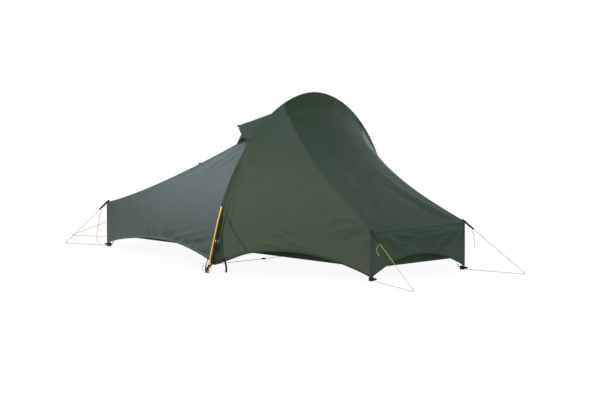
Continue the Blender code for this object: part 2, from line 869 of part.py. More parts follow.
def make_pole(materials):
    """Tube sections; each has a spigot for the next one, or the tip that stands in a foot."""
    low = POLE_FOOT_HEIGHT + POLE_TO_FOOT
    angles = pole_angles(arch_angle(low), arch_angle(low, True), POLE_SECTIONS * SECTION_STEPS)
    path = [arch_point(angle) for angle in angles]
    tangents = path_tangents(path)
    outer = POLE_DIAMETER / 2
    bore = outer - POLE_WALL
    spigot = bore - SPIGOT_CLEARANCE
    passage = SHOCK_CORD_DIAMETER / 2 + SHOCK_CORD_CLEARANCE
    near_axis = leg_direction(False).normalized()
    far_axis = leg_direction(True).normalized()
    for k in range(POLE_SECTIONS):
        first = k * SECTION_STEPS
        last = first + SECTION_STEPS
        rings = []
        if k == 0:
            seat = path[0]
            rings.append((seat - near_axis * TIP_LENGTH, near_axis, TIP_DIAMETER / 2, passage))
            rings.append((seat, near_axis, TIP_DIAMETER / 2, passage))
            rings.append((seat, near_axis, outer, passage))
            rings.append((towards(seat, path[1], SPIGOT_LENGTH), tangents[1], outer, passage))
            rings.append((towards(seat, path[1], SPIGOT_LENGTH), tangents[1], outer, bore))
        else:
            start = towards(path[first], path[first + 1], GAP / 2)
            rings.append((start, tangents[first], outer, bore))
        for i in range(first + 1, last):
            rings.append((path[i], tangents[i], outer, bore))
        if k == POLE_SECTIONS - 1:
            seat = path[last]
            inside = towards(seat, path[last - 1], SPIGOT_LENGTH)
            rings.append((inside, tangents[last - 1], outer, bore))
            rings.append((inside, tangents[last - 1], outer, passage))
            rings.append((seat, -far_axis, outer, passage))
            rings.append((seat, -far_axis, TIP_DIAMETER / 2, passage))
            rings.append((seat - far_axis * TIP_LENGTH, -far_axis, TIP_DIAMETER / 2, passage))
        else:
            end = towards(path[last], path[last - 1], GAP / 2)
            inside = towards(path[last], path[last - 1], SPIGOT_LENGTH)
            beyond = towards(path[last], path[last + 1], SPIGOT_LENGTH)
            rings.append((inside, tangents[last], outer, bore))
            rings.append((inside, tangents[last], outer, passage))
            rings.append((end, tangents[last], outer, passage))
            rings.append((end, tangents[last], spigot, passage))
            rings.append((beyond, (path[last + 1] - path[last]).normalized(), spigot, passage))
        ring_sweep(f"pole_section_{k + 1}", rings, materials["pole"])

    tube_along("pole_shock_cord", path, SHOCK_CORD_DIAMETER, materials["webbing"], 1)

    first = arch_angle(SLEEVE_START_HEIGHT)
    last = arch_angle(SLEEVE_START_HEIGHT, True)
    points = [arch_point(angle) for angle in pole_angles(first, last, SLEEVE_STEPS)]
    inner = POLE_DIAMETER / 2 + SLEEVE_BORE_CLEARANCE
    rings = [(point, tangent, sleeve_radius(), inner)
             for point, tangent in zip(points, path_tangents(points))]
    ring_sweep("pole_sleeve", rings, materials["fly"])


def pole_axis(far, height):
    """Point on the straight line that the pole's tip follows in its foot."""
    seat = pole_seat(far)
    return seat + leg_direction(far) * (height - seat.z)


def make_pole_feet(materials):
    tip_end = POLE_FOOT_HEIGHT - TIP_LENGTH - BORE_CLEARANCE
    for far, name in ((False, "pole_foot_near"), (True, "pole_foot_far")):
        foot = rod(name, pole_axis(far, -FOOT_BURIED), pole_axis(far, POLE_FOOT_HEIGHT),
                   POLE_FOOT_DIAMETER, materials["plastic"])
        below = Vector.Fill(3, POLE_FOOT_DIAMETER * 2)
        cut(foot, [rod("pole_foot_bore", pole_axis(far, tip_end),
                       pole_axis(far, POLE_FOOT_HEIGHT * 2),
                       TIP_DIAMETER + 2 * BORE_CLEARANCE, materials["plastic"], BORE_SIDES),
                   block("ground", below, pole_axis(far, 0.0) - UP * POLE_FOOT_DIAMETER,
                         Matrix.Identity(3), materials["plastic"])])


def make_peg_loops(materials):
    """Cord round each pole foot, long enough either side to take a peg."""
    depth = (POLE_FOOT_DIAMETER + LOOP_CORD) / 2 + GAP * 4
    for far, name in ((False, "peg_loop_near"), (True, "peg_loop_far")):
        centre = pole_axis(far, LOOP_CORD / 2)
        points = []
        for k in range(LOOP_STEPS):
            angle = 2 * pi * k / LOOP_STEPS
            across = LOOP_REACH * cos(angle)
            swell = depth * sin(angle) * (1 + LOOP_SWELL * cos(angle) ** 2)
            points.append(centre + Vector((across, swell, 0.0)))
        tube_along(name, points, LOOP_CORD, materials["loop"], 1, True)


# Corner struts and feet


def strut_plan(key):
    side_x, side_y = CORNERS[key]
    return corner_plan(key) - Vector((side_x * STRUT_INSET, side_y * STRUT_INSET, 0.0))


def turned(name, profile, centre, material, steps=BORE_SIDES):
    """Turned shape about an upright line; the profile runs from its top to its bottom."""
    points = [(radius, 0.0, height) for radius, height in profile]
    edges = [(i, i + 1) for i in range(len(points) - 1)]
    mesh = bpy.data.meshes.new(name)
    mesh.from_pydata(points, edges, [])
    item = new_object(name, mesh, material)
    item.location = centre
    spin = item.modifiers.new("spin", "SCREW")
    spin.steps = steps
    spin.render_steps = steps
    spin.use_merge_vertices = True
    spin.merge_threshold = 0.00001
    spin.use_smooth_shade = False
    return item


def make_corners(materials):
    for key in CORNERS:
        place = strut_plan(key)
        size = Vector((FOOT_SIZE, FOOT_SIZE, FOOT_HEIGHT))
        foot = block(f"corner_foot_{key}", size, place + UP * (FOOT_HEIGHT / 2),
                     Matrix.Identity(3), materials["plastic"], 0.002)
        cut(foot, [rod("corner_foot_bore", place + UP * FOOT_FLOOR,
                       place + UP * (FOOT_HEIGHT * 2), STRUT_DIAMETER + 2 * BORE_CLEARANCE,
                       materials["plastic"], BORE_SIDES)])
        length = STRUT_TOP - FOOT_FLOOR - GAP
        thin = STRUT_DIAMETER / 2
        wide = STRUT_HEAD_DIAMETER / 2
        neck = length - STRUT_HEAD_HEIGHT
        profile = [(0.0, length), (wide - STRUT_HEAD_CHAMFER, length),
                   (wide, length - STRUT_HEAD_CHAMFER), (wide, neck + STRUT_HEAD_CHAMFER),
                   (thin, neck), (thin, 0.0), (0.0, 0.0)]
        turned(f"strut_{key}", profile, place + UP * (FOOT_FLOOR + GAP), materials["rod"])


# Inner tent


def tub_corner(key):
    side_x, side_y = CORNERS[key]
    plan = corner_plan(key)
    return plan - Vector((side_x * TUB_MARGIN, side_y * TUB_MARGIN, 0.0))


def tub_point(u, v):
    """Point on the floor inside its seams."""
    near = lerp(tub_corner("left_near"), tub_corner("right_near"), u)
    far = lerp(tub_corner("left_far"), tub_corner("right_far"), u)
    point = lerp(near, far, v)
    point.z = TUB_SEAM_HEIGHT - TUB_SAG * 16 * u * (1 - u) * v * (1 - v)
    return point


def tub_rim(u, v, height, lean=0.0):
    """Point above the floor's edge, on the low side walls."""
    point = tub_point(u, v)
    point.x += lean * (1 if u == 1 else -1 if u == 0 else 0)
    point.y += lean * (1 if v == 1 else -1 if v == 0 else 0)
    point.z = height
    return point


def make_inner_floor(materials):
    rows = []
    long_steps = [0] + [i / TUB_LONG_COUNT for i in range(TUB_LONG_COUNT + 1)] + [1]
    cross_steps = [0] + [j / TUB_CROSS_COUNT for j in range(TUB_CROSS_COUNT + 1)] + [1]
    for i, u in enumerate(long_steps):
        row = []
        for j, v in enumerate(cross_steps):
            on_rim = i in (0, len(long_steps) - 1) or j in (0, len(cross_steps) - 1)
            if on_rim:
                row.append(tub_rim(u, v, TUB_WALL_TOP, TUB_LEAN))
            else:
                row.append(tub_point(u, v))
        rows.append(row)
    floor = cloth_from_grid("inner_floor", rows, materials["floor"], UP)
    weld(floor, [floor_strap(key, materials) for key in CORNERS])


def inner_hoop(share):
    """Inner tent's line under the hoop, from the door side over the top."""
    low = asin(((TUB_WALL_TOP + INNER_GAP) / INNER_HEIGHT) ** (INNER_EXPONENT / 2))
    angle = lerp(low, pi - low, share)
    return hoop_curve(angle, INNER_HALF_WIDTH, INNER_HEIGHT, INNER_EXPONENT)


def inner_staple(side, share):
    """Inner tent's end line: up one tub corner, across and down the other."""
    keys = ("right_near", "right_far") if side > 0 else ("left_near", "left_far")
    first = tub_corner(keys[0]) + UP * (TUB_WALL_TOP + INNER_GAP)
    last = tub_corner(keys[1]) + UP * (TUB_WALL_TOP + INNER_GAP)
    rise = UP * (INNER_END_HEIGHT - first.z)
    bend = INNER_SIDE_SHARE
    if share < bend:
        return first + rise * (share / bend)
    if share > 1 - bend:
        return last + rise * ((1 - share) / bend)
    return lerp(first, last, (share - bend) / (1 - 2 * bend)) + rise


def inner_side_point(side, u, v):
    hoop = inner_hoop(v)
    hoop.x += side * GAP / 2
    end = inner_staple(side, v)
    point = lerp(hoop, end, u)
    power = INNER_ROOF_POWER if side > 0 else INNER_LEFT_POWER
    point.z = end.z + (hoop.z - end.z) * (1 - u) ** power
    if v in (0, 1):
        length = END_SPACING / 2 - TUB_MARGIN
        place = (point.x + length) / (2 * length)
        point = tub_rim(place, v, TUB_WALL_TOP + INNER_GAP, TUB_LEAN)
    return point


def make_inner_canopy(materials):
    steps = INNER_CROSS_COUNT
    for side, name in ((-1, "inner_canopy_left"), (1, "inner_canopy_right")):
        outward = Vector((side * 0.4, 0.0, 0.9))
        rows = [[inner_side_point(side, i / INNER_LONG_COUNT, j / steps) for j in range(steps + 1)]
                for i in range(INNER_LONG_COUNT + 1)]
        cloth_from_grid(name, rows, materials["mesh"], outward)
    for side, name in ((-1, "inner_end_left"), (1, "inner_end_right")):
        keys = ("right_near", "right_far") if side > 0 else ("left_near", "left_far")
        rows = []
        for i in range(5):
            across = lerp(tub_corner(keys[0]), tub_corner(keys[1]), lerp(0.004, 0.996, i / 4))
            row = []
            for j in range(4):
                point = across + UP * lerp(TUB_WALL_TOP + INNER_GAP, INNER_END_HEIGHT, j / 3)
                point.x += side * (INNER_GAP + lerp(TUB_LEAN, 0.0, j / 3))
                row.append(point)
            rows.append(row)
        cloth_from_grid(name, rows, materials["mesh"], Vector((side, 0.0, 0.0)))


# Webbing, buckles and adjusters


def buckle_frame(key):
    """Place and axes of a corner buckle: X runs from the foot towards the tub's corner."""
    side_x, side_y = CORNERS[key]
    inward = Vector((-side_x, -side_y, 0.0)).normalized()
    start = strut_plan(key) + inward * (FOOT_SIZE / sqrt(2) + BUCKLE_TO_FOOT)
    start.z = BUCKLE_HEIGHT
    end = tub_corner(key) + inward * WEBBING_WIDTH
    end.z = TUB_SEAM_HEIGHT + FABRIC / 2
    turn = frame_from(end - start)
    return start, end, turn


def floor_strap(key, materials):
    """Strap from a corner buckle up to the tub, sewn under its corner."""
    start, end, turn = buckle_frame(key)
    first = start + turn @ Vector((BUCKLE_SIZE.x + GAP * 2, 0.0, 0.0))
    drop = turn @ Vector((0.0, 0.0, -WEBBING_THICKNESS / 2))
    return ribbon(f"floor_strap_{key}", [first + drop, end + drop], WEBBING_WIDTH,
                  turn @ Vector((0.0, 1.0, 0.0)), materials["webbing"])


def make_floor_buckles(materials):
    for key in CORNERS:
        start, end, turn = buckle_frame(key)
        shape = bmesh.new()
        bmesh.ops.create_cube(shape, size=1.0)
        bmesh.ops.scale(shape, vec=BUCKLE_SIZE, verts=shape.verts)
        bmesh.ops.translate(shape, vec=((BUCKLE_SIZE.x - BUCKLE_BAR) / 2, 0.0, 0.0),
                            verts=shape.verts)
        mesh = bpy.data.meshes.new("floor_buckle")
        shape.to_mesh(mesh)
        shape.free()
        buckle = new_object(f"floor_buckle_{key}", mesh, materials["plastic"])
        buckle.location = start + turn @ Vector((BUCKLE_BAR / 2, 0.0, 0.0))
        buckle.rotation_euler = turn.to_euler()
        slots = []
        for side in (-1, 1):
            place = start + turn @ Vector((BUCKLE_SIZE.x / 2 + side * BUCKLE_SLOT_PLACE, 0.0, 0.0))
            size = Vector((BUCKLE_BAR, BUCKLE_SIZE.y - 2 * BUCKLE_BAR, BUCKLE_SIZE.z * 2))
            slots.append(block("buckle_slot", size, place, turn, materials["plastic"]))
        cut(buckle, slots)


def make_pole_foot_webbing(materials):
    """Two-legged strap from the outer face of each pole foot to the hem corners beside it."""
    for far, name in ((False, "hem_webbing_near"), (True, "hem_webbing_far")):
        side_y = 1 if far else -1
        width = WEBBING_WIDTH * 0.6
        clear = Vector((0.0, side_y * (POLE_FOOT_DIAMETER / 2 + WEBBING_TO_FOOT), 0.0))
        face = pole_axis(far, POLE_FOOT_HEIGHT) + clear
        base = pole_axis(far, WEBBING_AT_FOOT) + clear
        legs = []
        for side in (-1, 1):
            hem = (wall_point(side, far, 1.0, 0.0) - wall_point(side, far, 0.0, 0.0)).length
            place = WEBBING_REACH / hem
            corner = wall_spot(side, far, place, WEBBING_RISE, WEBBING_TO_CLOTH)[0]
            beyond = wall_spot(side, far, place * 2, WEBBING_RISE, WEBBING_TO_CLOTH)[0]
            bend = face + Vector((side * width, side_y * GAP * 2, 0.004))
            low = base + Vector((side * width * 0.4, 0.0, 0.0))
            level = Vector((side, 0.0, 0.0))
            legs.append(ribbon(name if side < 0 else f"{name}_leg", [low, bend, corner], width,
                               [level, level, beyond - corner], materials["webbing"],
                               outward=Vector((0.0, side_y, 0.0))))
        weld(legs[0], legs[1:])


def cross_strap_point(share):
    """Point on the strap that ties the two pole feet together."""
    near = arch_point(arch_angle(CROSS_STRAP_HEIGHT))
    far = arch_point(arch_angle(CROSS_STRAP_HEIGHT, True))
    reach = POLE_DIAMETER / 2 + STRAP_TO_POLE
    return lerp(near + Vector((0.0, reach, 0.0)), far - Vector((0.0, reach, 0.0)), share)


def make_cross_strap(materials):
    ribbon("cross_strap", [cross_strap_point(0.0), cross_strap_point(1.0)], CROSS_STRAP_WIDTH,
           Vector((1.0, 0.0, 0.0)), materials["webbing"])
    centre = cross_strap_point(ADJUSTER_PLACE) + UP * (WEBBING_THICKNESS / 2)
    adjuster = block("cross_strap_adjuster", ADJUSTER_SIZE, centre, Matrix.Identity(3),
                     materials["plastic"], 0.001)
    passage = Vector((CROSS_STRAP_WIDTH + 2 * BORE_CLEARANCE, ADJUSTER_SIZE.y * 2,
                      WEBBING_THICKNESS + 2 * BORE_CLEARANCE))
    cut(adjuster, [block("passage", passage, centre, Matrix.Identity(3), materials["plastic"])])


def make_hem_tail(materials):
    """Spare webbing sewn on the door's hem, with its end hanging."""
    hem = HEM_AT_POLE_RIGHT + DOOR_HEM_DIP * 0.1
    top, normal = door_spot(hem + HEM_TAIL_SEWN, HEM_TAIL_REACH, GAP * 3)
    edge = door_spot(hem, HEM_TAIL_REACH, GAP * 3)[0]
    across = normal.cross(edge - top).normalized()
    points = [top, edge]
    for k in range(1, 8):
        share = k / 7
        swing = HEM_TAIL_SWING * sin(pi * share * 0.7)
        points.append(edge + across * swing * (1 if across.x > 0 else -1)
                      - UP * (HEM_TAIL_LENGTH * share))
    ribbon("hem_tail", points, WEBBING_WIDTH * 0.7, across, materials["webbing"], outward=normal)


def door_spot(height, reach, lift):
    """Point on the door's outer face, by height and distance from the hoop."""
    low = arch_angle(HEM_AT_POLE_RIGHT)
    v = (arch_angle(height) - low) / (DOOR_SEAM_ANGLE - low)
    span = (wall_point(1, False, 1.0, v) - wall_point(1, False, 0.0, v)).length
    return wall_spot(1, False, reach / span, v, lift)


def ring_hinge():
    """Top of the door ring, the line it swings about, the way up its plane and its normal."""
    seat, normal = door_spot(RING_HEIGHT, DOOR_STRAP_REACH, STRAP_TO_DOOR + WEBBING_THICKNESS)
    upward = door_spot(DOOR_STRAP_TOP, DOOR_STRAP_REACH, 0.0)[0]
    upward = (upward - door_spot(DOOR_STRAP_BOTTOM, DOOR_STRAP_REACH, 0.0)[0]).normalized()
    across = normal.cross(upward).normalized()
    normal = upward.cross(across)
    return seat + normal * (RING_WIRE / 2 + RING_STANDOFF), across, upward, normal


def make_door_strap(materials):
    """Webbing sewn to the door beside the pole, and the ring that hangs in it."""
    points = []
    for k in range(7):
        height = lerp(DOOR_STRAP_BOTTOM, DOOR_STRAP_TOP, k / 6)
        points.append(door_spot(height, DOOR_STRAP_REACH, STRAP_TO_DOOR)[0])
    normal = door_spot(RING_HEIGHT, DOOR_STRAP_REACH, 0.0)[1]
    upward = (points[-1] - points[0]).normalized()
    across = normal.cross(upward).normalized()
    strap = ribbon("door_strap", points, WEBBING_WIDTH * 0.7, across, materials["webbing"],
                   outward=normal)
    top, across, upward, normal = ring_hinge()
    turn = Matrix((across, upward, normal)).transposed()
    if turn.determinant() < 0:
        turn = Matrix((-across, upward, normal)).transposed()
    keeper = top - normal * (RING_WIRE / 2 + GAP + KEEPER_SIZE.z / 2)
    weld(strap, [block("ring_keeper", KEEPER_SIZE, keeper, turn, materials["webbing"])])
    centre = top - upward * (RING_DIAMETER / 2)
    points = []
    for k in range(LOOP_STEPS):
        angle = 2 * pi * k / LOOP_STEPS
        points.append(centre + (across * cos(angle) + upward * sin(angle)) * (RING_DIAMETER / 2))
    ring = tube_along("door_ring", points, RING_WIRE, materials["metal"], 1, True)
    set_origin(ring, ring_hinge()[0])


def make_ridge_toggle(materials):
    place = near_seam(-1, TOGGLE_PLACE)
    along = near_seam(-1, TOGGLE_PLACE + 0.02) - place
    centre = place + UP * (FABRIC + TOGGLE_DIAMETER / 2 + TOGGLE_CLEARANCE)
    half = along.normalized() * (TOGGLE_LENGTH / 2)
    rod("ridge_toggle", centre - half, centre + half, TOGGLE_DIAMETER, materials["plastic"], 10)


# Door zip


def zip_circle():
    """Circle level with the hoop that the lower door zip follows: centre and radius."""
    points = []
    for height in (ZIP_BOTTOM, ZIP_MIDDLE, ZIP_TOP):
        point = door_spot(height, ZIP_REACH, ZIP_TO_CLOTH)[0]
        points.append((point.y, point.z * sqrt(1 + POLE_LEAN**2)))
    (ax, ay), (bx, by), (cx, cy) = points
    double = 2 * (ax * (by - cy) + bx * (cy - ay) + cx * (ay - by))
    a = ax * ax + ay * ay
    b = bx * bx + by * by
    c = cx * cx + cy * cy
    y = (a * (by - cy) + b * (cy - ay) + c * (ay - by)) / double
    z = (a * (cx - bx) + b * (ax - cx) + c * (bx - ax)) / double
    return y, z, sqrt((ax - y) ** 2 + (ay - z) ** 2)


def zip_plane_offset():
    """How far the zip's plane stands from the hoop's, along X."""
    point = door_spot(ZIP_MIDDLE, ZIP_REACH, 0.0)[0]
    return point.x - POLE_X - POLE_LEAN * point.z


def zip_point(turn, lift):
    """Point on the zip, by its angle round the circle; lift is outward from the circle."""
    y, z, radius = zip_circle()
    reach = radius + lift
    height = (z - reach * sin(turn)) / sqrt(1 + POLE_LEAN**2)
    across = y - reach * cos(turn)
    return Vector((POLE_X + POLE_LEAN * height + zip_plane_offset(), across, height))


def zip_turn(height):
    """Angle round the zip's circle that matches a height on the door."""
    y, z, radius = zip_circle()
    point = door_spot(height, ZIP_REACH, 0.0)[0]
    return atan2(z - point.z * sqrt(1 + POLE_LEAN**2), y - point.y)


def zip_pivot():
    """Middle of the zip's circle, on the line the slider turns about."""
    y, z, radius = zip_circle()
    height = z / sqrt(1 + POLE_LEAN**2)
    return Vector((POLE_X + POLE_LEAN * height + zip_plane_offset(), y, height))


def zip_frame(turn):
    """Axes on the zip at an angle round its circle: across it, along it, away from the cloth."""
    lean = Vector((1.0, 0.0, -POLE_LEAN)).normalized()
    out = (zip_point(turn, 1.0) - zip_point(turn, 0.0)).normalized()
    normal = door_spot(ZIP_MIDDLE, ZIP_REACH, 0.0)[1]
    slope = asin(normal.dot(lean))
    across = lean * cos(slope) - out * sin(slope)
    away = lean * sin(slope) + out * cos(slope)
    return Matrix((across, away.cross(across), away)).transposed()


def slider_place(lift):
    """Point over the slider's rest place, by its height above the zip."""
    turn = zip_turn(SLIDER_HEIGHT)
    return zip_point(turn, 0.0) + zip_frame(turn) @ Vector((0.0, 0.0, lift))


def pull_hinge():
    """Top of the zip pull, the line it swings about and the way it hangs."""
    frame = zip_frame(zip_turn(SLIDER_HEIGHT))
    lift = ZIP_THICKNESS + SLIDER_GAP + SLIDER_SIZE.y + PULL_SIZE.y / 2 + PULL_GAP
    down = frame @ Vector((0.0, 1.0, 0.0))
    if down.z > 0:
        down = -down
    return slider_place(lift), frame @ Vector((1.0, 0.0, 0.0)), down


def make_zip(materials):
    first = zip_turn(ZIP_BOTTOM)
    last = zip_turn(ZIP_TOP)
    turns = [lerp(first, last, k / ZIP_STEPS) for k in range(ZIP_STEPS + 1)]
    across = [zip_frame(turn) @ Vector((1.0, 0.0, 0.0)) for turn in turns]
    ribbon("door_zip", [zip_point(turn, 0.0) for turn in turns], ZIP_WIDTH, across,
           materials["plastic"], ZIP_THICKNESS, zip_frame(first) @ UP)

    seat = slider_place(ZIP_THICKNESS + SLIDER_GAP + SLIDER_SIZE.y / 2)
    size = Vector((SLIDER_SIZE.x, SLIDER_SIZE.z, SLIDER_SIZE.y))
    slider = block("zip_slider", size, seat, zip_frame(zip_turn(SLIDER_HEIGHT)),
                   materials["metal"], 0.0012)
    pivot = bpy.data.objects.new("zip_pivot", None)
    pivot.location = zip_pivot()
    PARTS.objects.link(pivot)
    bpy.context.view_layer.update()
    slider.parent = pivot
    slider.matrix_parent_inverse = pivot.matrix_world.inverted()

    hinge, across, down = pull_hinge()
    size = Vector((PULL_SIZE.x, PULL_SIZE.z, PULL_SIZE.y))
    middle = hinge + down * (PULL_SIZE.z / 2 - PULL_SIZE.y / 2)
    turn = Matrix((across, -down, across.cross(-down))).transposed()
    pull = block("zip_pull", size, middle, turn, materials["plastic"])
    bpy.context.view_layer.update()
    set_origin(pull, hinge)


# Guylines


def line_direction(key):
    start = corner_line(key, 1)
    end = PEG_PLACES[key] + UP * PEG_LINE_HEIGHT
    return (end - start).normalized()


def lock_centre(key):
    return corner_line(key, 1) + line_direction(key) * LOCK_DISTANCES[key]


def guyline_route(key):
    """Cord from the corner's foot, round the peg, through the lock to its hanging end."""
    away = line_direction(key)
    turn = frame_from(away)
    centre = lock_centre(key)
    peg = PEG_PLACES[key]
    side_x, side_y = CORNERS[key]
    foot = strut_plan(key) + Vector((side_x * (FOOT_SIZE / 2 + GAP), 0.0, LINE_AT_FOOT))
    stub = foot + Vector((side_x * GUYLINE_DIAMETER * 2, 0.0, 0.0))
    flat = Vector((away.x, away.y, 0.0)).normalized()
    side = Vector((-flat.y, flat.x, 0.0))
    bend = GUYLINE_DIAMETER * LINE_BEND
    round_peg = peg + flat * (PEG_DIAMETER / 2 + GUYLINE_DIAMETER / 2 + GAP * 2 - bend)
    low = round_peg - side * bend + UP * LINE_AT_FOOT
    high = round_peg + side * bend + UP * PEG_LINE_HEIGHT
    route = [foot, stub] + [lerp(stub, low, share) for share in (0.08, 0.35, 0.65, 0.95)]
    for step in range(5):
        angle = pi * step / 4
        swing = side * -cos(angle) + flat * sin(angle)
        height = lerp(LINE_AT_FOOT, PEG_LINE_HEIGHT, step / 4)
        route.append(round_peg + swing * bend + UP * height)
    lock_end = centre + away * (LOCK_SIZE.x / 2)
    route += [lerp(high, lock_end, share) for share in (0.05, 0.35, 0.7, 0.95)]
    inside = centre + away * (LOCK_SLOT_PLACE + LOCK_SLOT / 2 - GUYLINE_DIAMETER / 2)
    bend_start = inside
    down = turn @ Vector((0.0, 0.0, -1.0))
    route.append(bend_start)
    route.append(bend_start - away * (bend * 0.65) + down * (bend * 0.28))
    out = bend_start - away * bend + down * bend
    route.append(out)
    route += [out + down * LOCK_SIZE.z * 0.5 + Vector(step) for step in TAIL_ROUTES[key]]
    return route


def make_guylines(materials):
    for key in CORNERS:
        away = line_direction(key)
        turn = frame_from(away)
        centre = lock_centre(key)
        lock = block(f"line_lock_{key}", LOCK_SIZE, centre, turn, materials["plastic"])
        tab_start = corner_line(key, 1) + away * TAB_START
        tab_end = centre - away * (LOCK_SIZE.x / 2 - WEBBING_THICKNESS)
        weld(lock, [ribbon(f"guy_tab_{key}", [tab_start, tab_end], TAB_WIDTH, away.cross(UP),
                           materials["webbing"])])
        slot = Vector((LOCK_SLOT, GUYLINE_DIAMETER + 4 * BORE_CLEARANCE, LOCK_SIZE.z * 2))
        slot_centre = centre + away * LOCK_SLOT_PLACE
        cut(lock, [block("lock_slot", slot, slot_centre, turn, materials["plastic"]),
                   rod("lock_bore", slot_centre, centre + away * LOCK_SIZE.x,
                       GUYLINE_DIAMETER + 2 * BORE_CLEARANCE, materials["plastic"], BORE_SIDES)])
        tube_along(f"guyline_{key}", smooth_route(guyline_route(key)), GUYLINE_DIAMETER,
                   materials["cord"])
        flat = Vector((away.x, away.y, 0.0)).normalized()
        peg = PEG_PLACES[key]
        high = peg + UP * (PEG_HEIGHT - PEG_DIAMETER / 2)
        hook = [peg, peg + UP * (PEG_HEIGHT * 0.5), high - UP * PEG_BEND,
                high - UP * (PEG_BEND * 0.3) - flat * (PEG_BEND * 0.3) + flat * (PEG_BEND * 0.6),
                high + flat * PEG_BEND, high + flat * PEG_HOOK]
        tube_along(f"peg_{key}", hook, PEG_DIAMETER, materials["metal"], 2)


def main():
    materials = make_materials()
    make_fly(materials)
    make_vent(materials)
    make_pole(materials)
    make_pole_feet(materials)
    make_peg_loops(materials)
    make_corners(materials)
    make_inner_floor(materials)
    make_inner_canopy(materials)
    make_floor_buckles(materials)
    make_pole_foot_webbing(materials)
    make_cross_strap(materials)
    make_hem_tail(materials)
    make_door_strap(materials)
    make_ridge_toggle(materials)
    make_zip(materials)
    make_guylines(materials)


clear_scene()
PARTS = bpy.data.collections.new("backpacking_tent")
CUTTERS = bpy.data.collections.new("cutters")
bpy.context.scene.collection.children.link(PARTS)
bpy.context.scene.collection.children.link(CUTTERS)
main()
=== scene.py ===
"""Looks of a pitched one-hoop backpacking tent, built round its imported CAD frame.

Frame: metres, +Z up. X runs along the sleeper, head end at +X. The door side is -Y.
Places on a panel are shares: u runs from the hoop to the end of the tent, v from the hem up,
or from the door side across on a roof. On an end panel u runs from the door side across.
"""

from functools import partial
from math import asin, atan2, cos, exp, pi, sin, sqrt

import bpy
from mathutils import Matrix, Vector, noise


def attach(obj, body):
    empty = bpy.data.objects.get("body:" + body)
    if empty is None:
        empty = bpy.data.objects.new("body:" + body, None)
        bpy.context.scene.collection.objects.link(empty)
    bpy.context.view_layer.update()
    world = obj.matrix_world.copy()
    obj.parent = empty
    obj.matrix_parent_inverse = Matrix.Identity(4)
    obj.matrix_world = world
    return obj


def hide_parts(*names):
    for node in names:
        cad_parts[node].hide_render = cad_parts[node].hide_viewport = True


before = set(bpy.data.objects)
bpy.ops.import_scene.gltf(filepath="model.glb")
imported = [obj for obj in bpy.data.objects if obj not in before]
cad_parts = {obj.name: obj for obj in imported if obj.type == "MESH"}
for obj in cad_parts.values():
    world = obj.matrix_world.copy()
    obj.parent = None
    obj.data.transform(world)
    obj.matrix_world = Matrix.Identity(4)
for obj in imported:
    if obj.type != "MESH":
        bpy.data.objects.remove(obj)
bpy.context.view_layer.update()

UP = Vector((0.0, 0.0, 1.0))
WORDS = {-1: "left", 1: "right"}
LEGS = ((False, "near"), (True, "far"))
SLOPE_STEP = 0.002

# Plan and height of the pitched tent
END_SPACING = 2.38
FOOT_END_WIDTH = 0.57
HEAD_END_WIDTH = 0.78
STRUT_TOP = 0.277
FABRIC = 0.001
GAP = 0.0003
EDGE_MARGIN = 0.004

# Hoop: an arch on straight legs that leans towards the head end
POLE_X = 0.264
POLE_SPAN = 1.494
POLE_HEIGHT = 1.0
POLE_EXPONENT = 1.9
POLE_LEAN = 0.078
STRAIGHT_LEG = 0.25
POLE_DIAMETER = 0.009
POLE_SECTIONS = 4
POLE_SEAT = 0.031
POLE_FOOT_DIAMETER = 0.018
TIP_LENGTH = 0.021
TIP_DIAMETER = 0.006
COLLAR_HEIGHT = 0.014

# Hems: their heights at the hoop, how far they rise between their ends, and where they dip
HEM_AT_POLE_LEFT = 0.07
HEM_AT_POLE_RIGHT = 0.055
LEFT_HEM_RISE = 0.085
RIGHT_HEM_RISE = 0.105
FOOT_END_HEM_RISE = 0.1
HEAD_END_HEM_RISE = 0.103
WALL_BOW = 0.012
DOOR_HEM_DIP = 0.016
DIP_START = 0.03
DIP_END = 0.25
DIP_FADE = 0.17
WALL_HEM_DIP = 0.009
WALL_DIP_START = 0.25
WALL_DIP_RISE = 0.3
WALL_DIP_END = 0.95
WALL_DIP_FADE = 0.25

# Roofs and the seams beside them: where a seam leaves the hoop, and how it runs
ROOF_EDGE_SAG = 0.006
ROOF_DROOP = 0.07
DROOP_PLACE = 0.25
DROOP_RISE = 0.7
DROOP_WIDTH = 0.6
LEFT_SEAM_ANGLE = 0.93
LEFT_SEAM_POWER = 1.165
LEFT_SEAM_BOW = 0.016
DOOR_SEAM_ANGLE = 1.23
DOOR_SEAM_POWER = 0.88
DOOR_SEAM_BOW = 0.085
FAR_SEAM_ANGLE = 2.2
FAR_SEAM_POWER = 0.957
FAR_SEAM_BOW = 0.15

# Vent and its hood; the gore's edge is a row of places on the wall, from its foot to the ridge
VENT_FIRST_ANGLE = 0.845
VENT_LAST_ANGLE = 1.095
VENT_DEPTH = 0.055
VENT_DROP = 0.35
HOOD_REACH = 0.185
HOOD_TIP_ANGLE = 0.97
HOOD_CROWN = 0.012
HOOD_TIP_RISE = 0.001
HOOD_BULGE = 0.016
HOOD_STEPS = 32
HOOD_OVERLAP = 0.42
HOOD_FLAP_STEPS = 7
HOOD_HEM_LIFT = -0.0006
HOOD_LIFT = 0.002
HOOD_WRINKLE = 0.002
BRIM_SHARE = 0.045
BRIM_LIFT = 0.0016
BRIM_FOLD = 0.0012
STIFFENER_DIAMETER = 0.01
STIFFENER_INNER = 0.012
STIFFENER_OUTER = 0.007
STIFFENER_RISE = 0.002
GORE_LIFT = 0.0016
GORE_TOP_LIFT = 0.0032
GUSSET_END = 0.6
NET_MARGIN = 0.013
GORE_EDGE = (
    (0.006, 0.75), (0.011, 0.79), (0.0187, 0.833),
    (0.0563, 0.963), (0.1062, 0.985), (0.109, 1.0),
)

